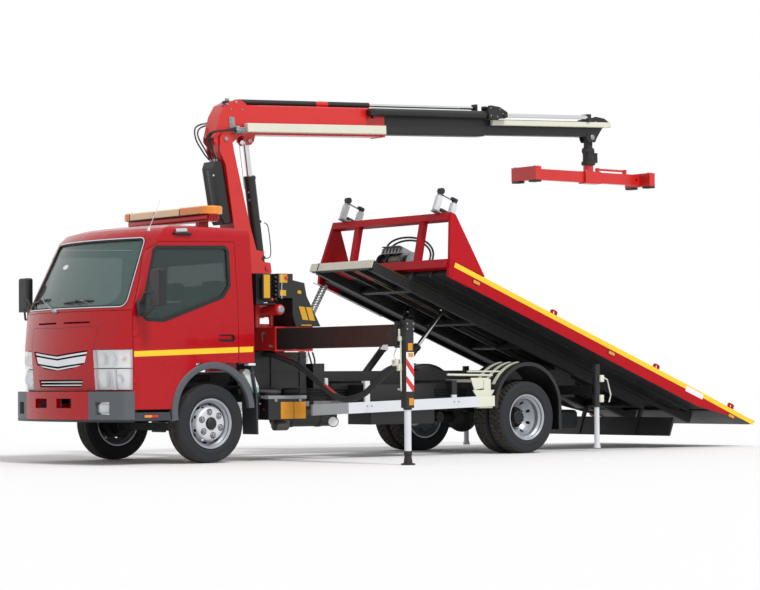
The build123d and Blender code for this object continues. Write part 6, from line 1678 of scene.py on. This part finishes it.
# deck: tread plate with raised lozenges in staggered rows on its top
lozenge = np.array([(-0.016, 0.0), (0.0, 0.0035), (0.016, 0.0), (0.0, -0.0035)])
cells = []
for row, x in enumerate(np.arange(-2.3, 2.3, 0.045)):
    for y in np.arange(-1.04 + 0.045 * (row % 2), 1.05, 0.09):
        turn = math.radians(45 if row % 2 else -45)
        spin = np.array([[math.cos(turn), -math.sin(turn)], [math.sin(turn), math.cos(turn)]])
        flat = lozenge @ spin.T + [x, y]
        cells.append((np.column_stack([flat, np.full(4, 0.2052)]), (x, y, 0.2075)))
points = np.concatenate([np.concatenate([ring, [peak]]) for ring, peak in cells])
faces = [[5 * n + k, 5 * n + (k + 1) % 4, 5 * n + 4] for n in range(len(cells)) for k in range(4)]
newPiece("deckTreads", onBed(points), faces, "deckPlate", "bed", "galvanised", 20)
paint(skins["bed_deck"], "deckPlate", (-2.36, -1.09, 0.2), (2.33, 1.09, 0.21), onBed)

# bed sides: yellow stripe along the top edge, orange markers, a pale plate, small lights below
stripes, markers, frames = [], [], []
for hand in (1, -1):
    y = hand * 1.1195
    stripes.append(flatPlate(onBed([(2.32, y, 0.198), (-1.45, y, 0.198), (-2.34, y, 0.186),
        (-2.34, y, 0.236), (-1.45, y, 0.2505), (2.32, y, 0.2505)]), (0, hand, 0), 0.0008))
    for x in (1.99, -0.03, -1.98):
        low, high = sorted((y, y + hand * 0.008))
        markers += boxesOn(onBed, [((x - 0.045, low, 0.145), (x + 0.045, high, 0.178))], 0.006)
        frames += boxesOn(onBed, [((x - 0.055, low - 0.001, 0.138), (x + 0.055, high - 0.003, 0.185))],
            0.003)
group("bedStripes", stripes, "yellowTape", "bed")
group("bedMarkers", markers, "amberLens", "bed")
group("bedMarkerFrames", frames, "blackPlastic", "bed")
plates = boxesOn(onBed, [((-1.49, 1.1195, 0.175), (-1.21, 1.1225, 0.235))], 0.001)
group("bedPlate", plates, "whiteTape", "bed")

# winch: rope on the drum, gearbox ribs, motor and the hoses over it
turns = np.arange(0, 10 * 2 * np.pi, 2 * np.pi / 18)
drum = []
for layer, radius in ((0, 0.052), (1, 0.06)):
    count = len(turns)
    places = np.linspace(-0.112, 0.084, count) if layer == 0 else np.linspace(0.084, -0.112, count)
    coil = np.stack([2.2 + radius * np.cos(turns), places, 0.36 + radius * np.sin(turns)], 1)
    drum.append(tube(onBed(coil), 0.0095, 7))
group("winchRope", drum, "ropeSteel", "bed")
gear = boxesOn(onBed, [((2.14, -0.25, 0.438), (2.26, 0.09, 0.49)),
    ((2.1, -0.235, 0.495), (2.3, 0.08, 0.502))], 0.01)
gear += boxesOn(onBed, [((2.263, -0.245 + 0.055 * n, 0.44), (2.272, -0.225 + 0.055 * n, 0.488))
    for n in range(6)], 0.002)
group("winchGearbox", gear, "zinc", "bed")
motor = [turned([(0.0, 0), (0.05, 0), (0.055, 0.01), (0.055, 0.09), (0.04, 0.1), (0.0, 0.1)],
    onBed([(2.2, 0.12, 0.37)])[0], (0, 1, 0), 20)]
motor += [turned([(0.018, 0), (0.018, 0.02), (0.01, 0.024), (0, 0.024)], onBed([(x, y, 0.495)])[0],
    onBed([(x, y, 1.495)])[0] - onBed([(x, y, 0.495)])[0], 8) for x, y in ((2.2, -0.22), (2.2, 0.02))]
group("winchMotor", motor, "castIron", "bed")
bedHoses = {
    # name: points in the bed's frame, diameter, length
    "winchHoseA": ([(2.243, -0.2, 0.44), (2.265, -0.19, 0.495), (2.262, -0.165, 0.56),
        (2.215, -0.11, 0.625), (2.135, -0.03, 0.67), (2.04, 0.05, 0.685), (1.965, 0.1, 0.665),
        (1.905, 0.135, 0.61), (1.885, 0.15, 0.53), (1.9, 0.15, 0.44), (1.93, 0.14, 0.34),
        (1.95, 0.13, 0.26), (1.96, 0.125, 0.215)], 0.022, 1.05),
    "winchHoseB": ([(2.225, -0.16, 0.44), (2.243, -0.15, 0.49), (2.235, -0.125, 0.54),
        (2.19, -0.075, 0.6), (2.12, -0.005, 0.64), (2.045, 0.06, 0.65), (1.985, 0.105, 0.63),
        (1.935, 0.14, 0.58), (1.92, 0.15, 0.51), (1.935, 0.15, 0.43), (1.96, 0.14, 0.34),
        (1.98, 0.135, 0.26), (1.99, 0.13, 0.215)], 0.022, 0.93),
}
for name, (points, diameter, length) in bedHoses.items():
    route = onBed(points) - at(0, 0, 0)
    hose(name, route, diameter, length, "bed")

# posts: sleeves, black stops between each pair, slanted caps
sleeves, stops = [], []
for hand in (1, -1):
    low, high = span(hand, 0.76, 0.83)
    stops += boxesOn(onBed, [((2.335, low, 0.766), (2.47, high, 0.815))], 0.02)
    low, high = span(hand, 0.768, 0.812)
    stops += boxesOn(onBed, [((2.275, low, 0.955), (2.35, high, 0.985))], 0.004)
    for x in (2.3, 2.505):
        low, high = span(hand, 0.762, 0.818)
        sleeves += boxesOn(onBed, [((x - 0.031, low, 0.768), (x + 0.031, high, 0.93))], 0.006)
group("postSleeves", sleeves, "whitePaint", "bed")
group("postStops", stops, "blackPlastic", "bed")

# cable chain from the chassis up to the tilt frame's front
chainFoot, chainTop = (-2.05, -0.47, 0.82), (-2.4, -0.47, 1.78)
chainLine = dense(np.array([chainFoot, (-2.1, -0.47, 1.06), (-2.15, -0.47, 1.25), (-2.215, -0.47, 1.47),
    (-2.31, -0.47, 1.63), chainTop]), 0.035)
links = []
for a, b in zip(chainLine[:-1], chainLine[1:]):
    way = (b - a) / np.linalg.norm(b - a)
    for y in (-0.045, 0.045):
        links.append(sweep(strip((-0.003, -0.016), (0.003, 0.016)),
            onTruck([a + [0, y, 0] + way * 0.002, b + [0, y, 0] - way * 0.002]),
            up=np.cross(way, (0, 1, 0))))
    links.append(sweep(strip((-0.004, -0.006), (0.004, 0.006)),
        onTruck([(a + b) / 2 + [0, -0.045, 0], (a + b) / 2 + [0, 0.045, 0]]), up=np.cross(way, (0, 1, 0))))
group("cableChain", links, "zinc", ("chassis", "tilt_frame", chainFoot, chainTop), "galvanised")
print("bed ready")


# spreader, hook link, rear of the truck
x0, zs = -5.772, 3.037
pads, bolts = [], []
for place in (0.93, -0.805):
    for hand in (1, -1):
        low, high = span(hand, 0.08, 0.2)
        pads += boxesOn(onTruck, [((x0 + place - 0.045, low, zs - 0.099),
            (x0 + place + 0.045, high, zs - 0.076))], 0.006)
        bolts.append(boltHeads(onTruck([(x0 + place + dx, hand * 0.16, zs + 0.074)
            for dx in (-0.025, 0.025)]), (0, 0, 1), 0.01, 0.009))
group("spreaderPads", pads, "blackPlastic", "spreader")
bolts.append(boltHeads(onTruck([(x0 + dx, dy, zs + 0.066) for dx in (-0.12, 0.075)
    for dy in (-0.045, 0.045)]), (0, 0, 1), 0.011, 0.009))
group("spreaderBolts", bolts, "zinc", "spreader")
print("spreader ready")

rear, lights = [], []
for side, hand in hands:
    low, high = span(hand, 1.118, 1.146)
    rear += [tube(onTruck([(-4.87, hand * 1.13, 0.8), (-4.95, hand * 1.14, 0.76),
        (-5.0, hand * 1.14, 0.6), (-4.98, hand * 1.135, 0.52)]), 0.008, 8)]
    rear += boxesOn(onTruck, [((-4.9, low, 0.52), (-4.845, high, 0.6)),
        ((-4.905, low, 0.735), (-4.85, high, 0.81))], 0.008)
    for n in range(9):
        x = 1.9 - 0.42 * n
        lights.append(turned([(0.006, 0), (0.006, 0.002), (0, 0.0025)],
            onBed([(x, hand * 0.95, 0.1255)])[0], onBed([(0, 0, -1)])[0] - onBed([(0, 0, 0)])[0], 8))
group("rearLegValves", rear, "creamPaint", "chassis")
group("underbedLights", lights, "whiteLens", "bed")
rearLamps, rearAmbers = [], []
for hand in (1, -1):
    low, high = span(hand, 0.6, 0.92)
    rearLamps += boxesOn(onBed, [((-1.2835, low, -0.3), (-1.2755, high, -0.19))], 0.004)
    low, high = span(hand, 0.8, 0.9)
    rearAmbers += boxesOn(onBed, [((-1.285, low, -0.29), (-1.276, high, -0.2))], 0.004)
group("rearLamps", rearLamps, "redLens", "tilt_frame", "amber")
group("rearLampAmbers", rearAmbers, "amberLens", "tilt_frame")
print("rear ready")


# cab interior: padded seats in place of the plain ones, dash and wheel in plastic
def cushion(low, high, crown, way):
    # a stuffed closed form: a cube's surface rounded off, crowned along way, its sides drawn in
    steps = 10
    ticks = np.linspace(-1, 1, steps + 1)
    index, points, faces = {}, [], []
    def corner(p):
        key = tuple(np.round(p, 6))
        if key not in index:
            index[key] = len(points)
            points.append(p)
        return index[key]
    for axis in range(3):
        one, two = (axis + 1) % 3, (axis + 2) % 3
        for sign in (-1.0, 1.0):
            for a, b in ((i, j) for i in range(steps) for j in range(steps)):
                quad = []
                for u, v in ((a, b), (a + 1, b), (a + 1, b + 1), (a, b + 1)):
                    p = np.zeros(3)
                    p[axis], p[one], p[two] = sign, ticks[u], ticks[v]
                    quad.append(corner(p))
                faces.append(quad[::int(sign)])
    shape = np.array(points)
    shape /= (np.abs(shape) ** 7).sum(1, keepdims=True) ** (1 / 7)
    others = [axis for axis in range(3) if axis != way]
    dome = (1 - shape[:, others[0]] ** 2) * (1 - shape[:, others[1]] ** 2)
    shape[:, way] *= 1 - crown + crown * dome
    for axis, across in ((others[0], others[1]), (others[1], others[0])):
        shape[:, axis] *= 1 - 0.03 * (1 - shape[:, across] ** 2)
    low, high = np.array(low), np.array(high)
    return onTruck((low + high) / 2 + shape * (high - low) / 2), faces


seatMesh = skins["cab_interior"].data
work = bmesh.new()
work.from_mesh(seatMesh)
dashFront = at(0.45, 0, 0)[0]
gone = [face for face in work.faces if face.calc_center_median().x < dashFront]
bmesh.ops.delete(work, geom=gone, context="FACES")
work.to_mesh(seatMesh)
work.free()
paint(skins["cab_interior"], "dashPlastic", (0.45, -1.0, 1.0), (1.0, 1.0, 1.7))
seatPads = {
    # part: low and high corner beside the seat's middle, crown, way it is crowned along
    "Base": ((-0.18, 1.016), (0.33, 1.16), 0.22, 2),
    "Back": ((-0.34, 1.12), (-0.18, 1.56), 0.3, 0),
    "Headrest": ((-0.335, 1.575), (-0.205, 1.75), 0.3, 0),
}
for seat, middle, half in (("driver", 0.56, 0.245), ("middle", -0.112, 0.214),
    ("passenger", -0.555, 0.222)):
    for part, ((x0, z0), (x1, z1), crown, way) in seatPads.items():
        reach = half * (0.55 if part == "Headrest" else 1.0)
        points, faces = cushion((x0, middle - reach, z0), (x1, middle + reach, z1), crown, way)
        pad = newPiece(f"{seat}Seat{part}", points, faces, "seatCloth", "chassis", "seat", 60)
print("seats ready")
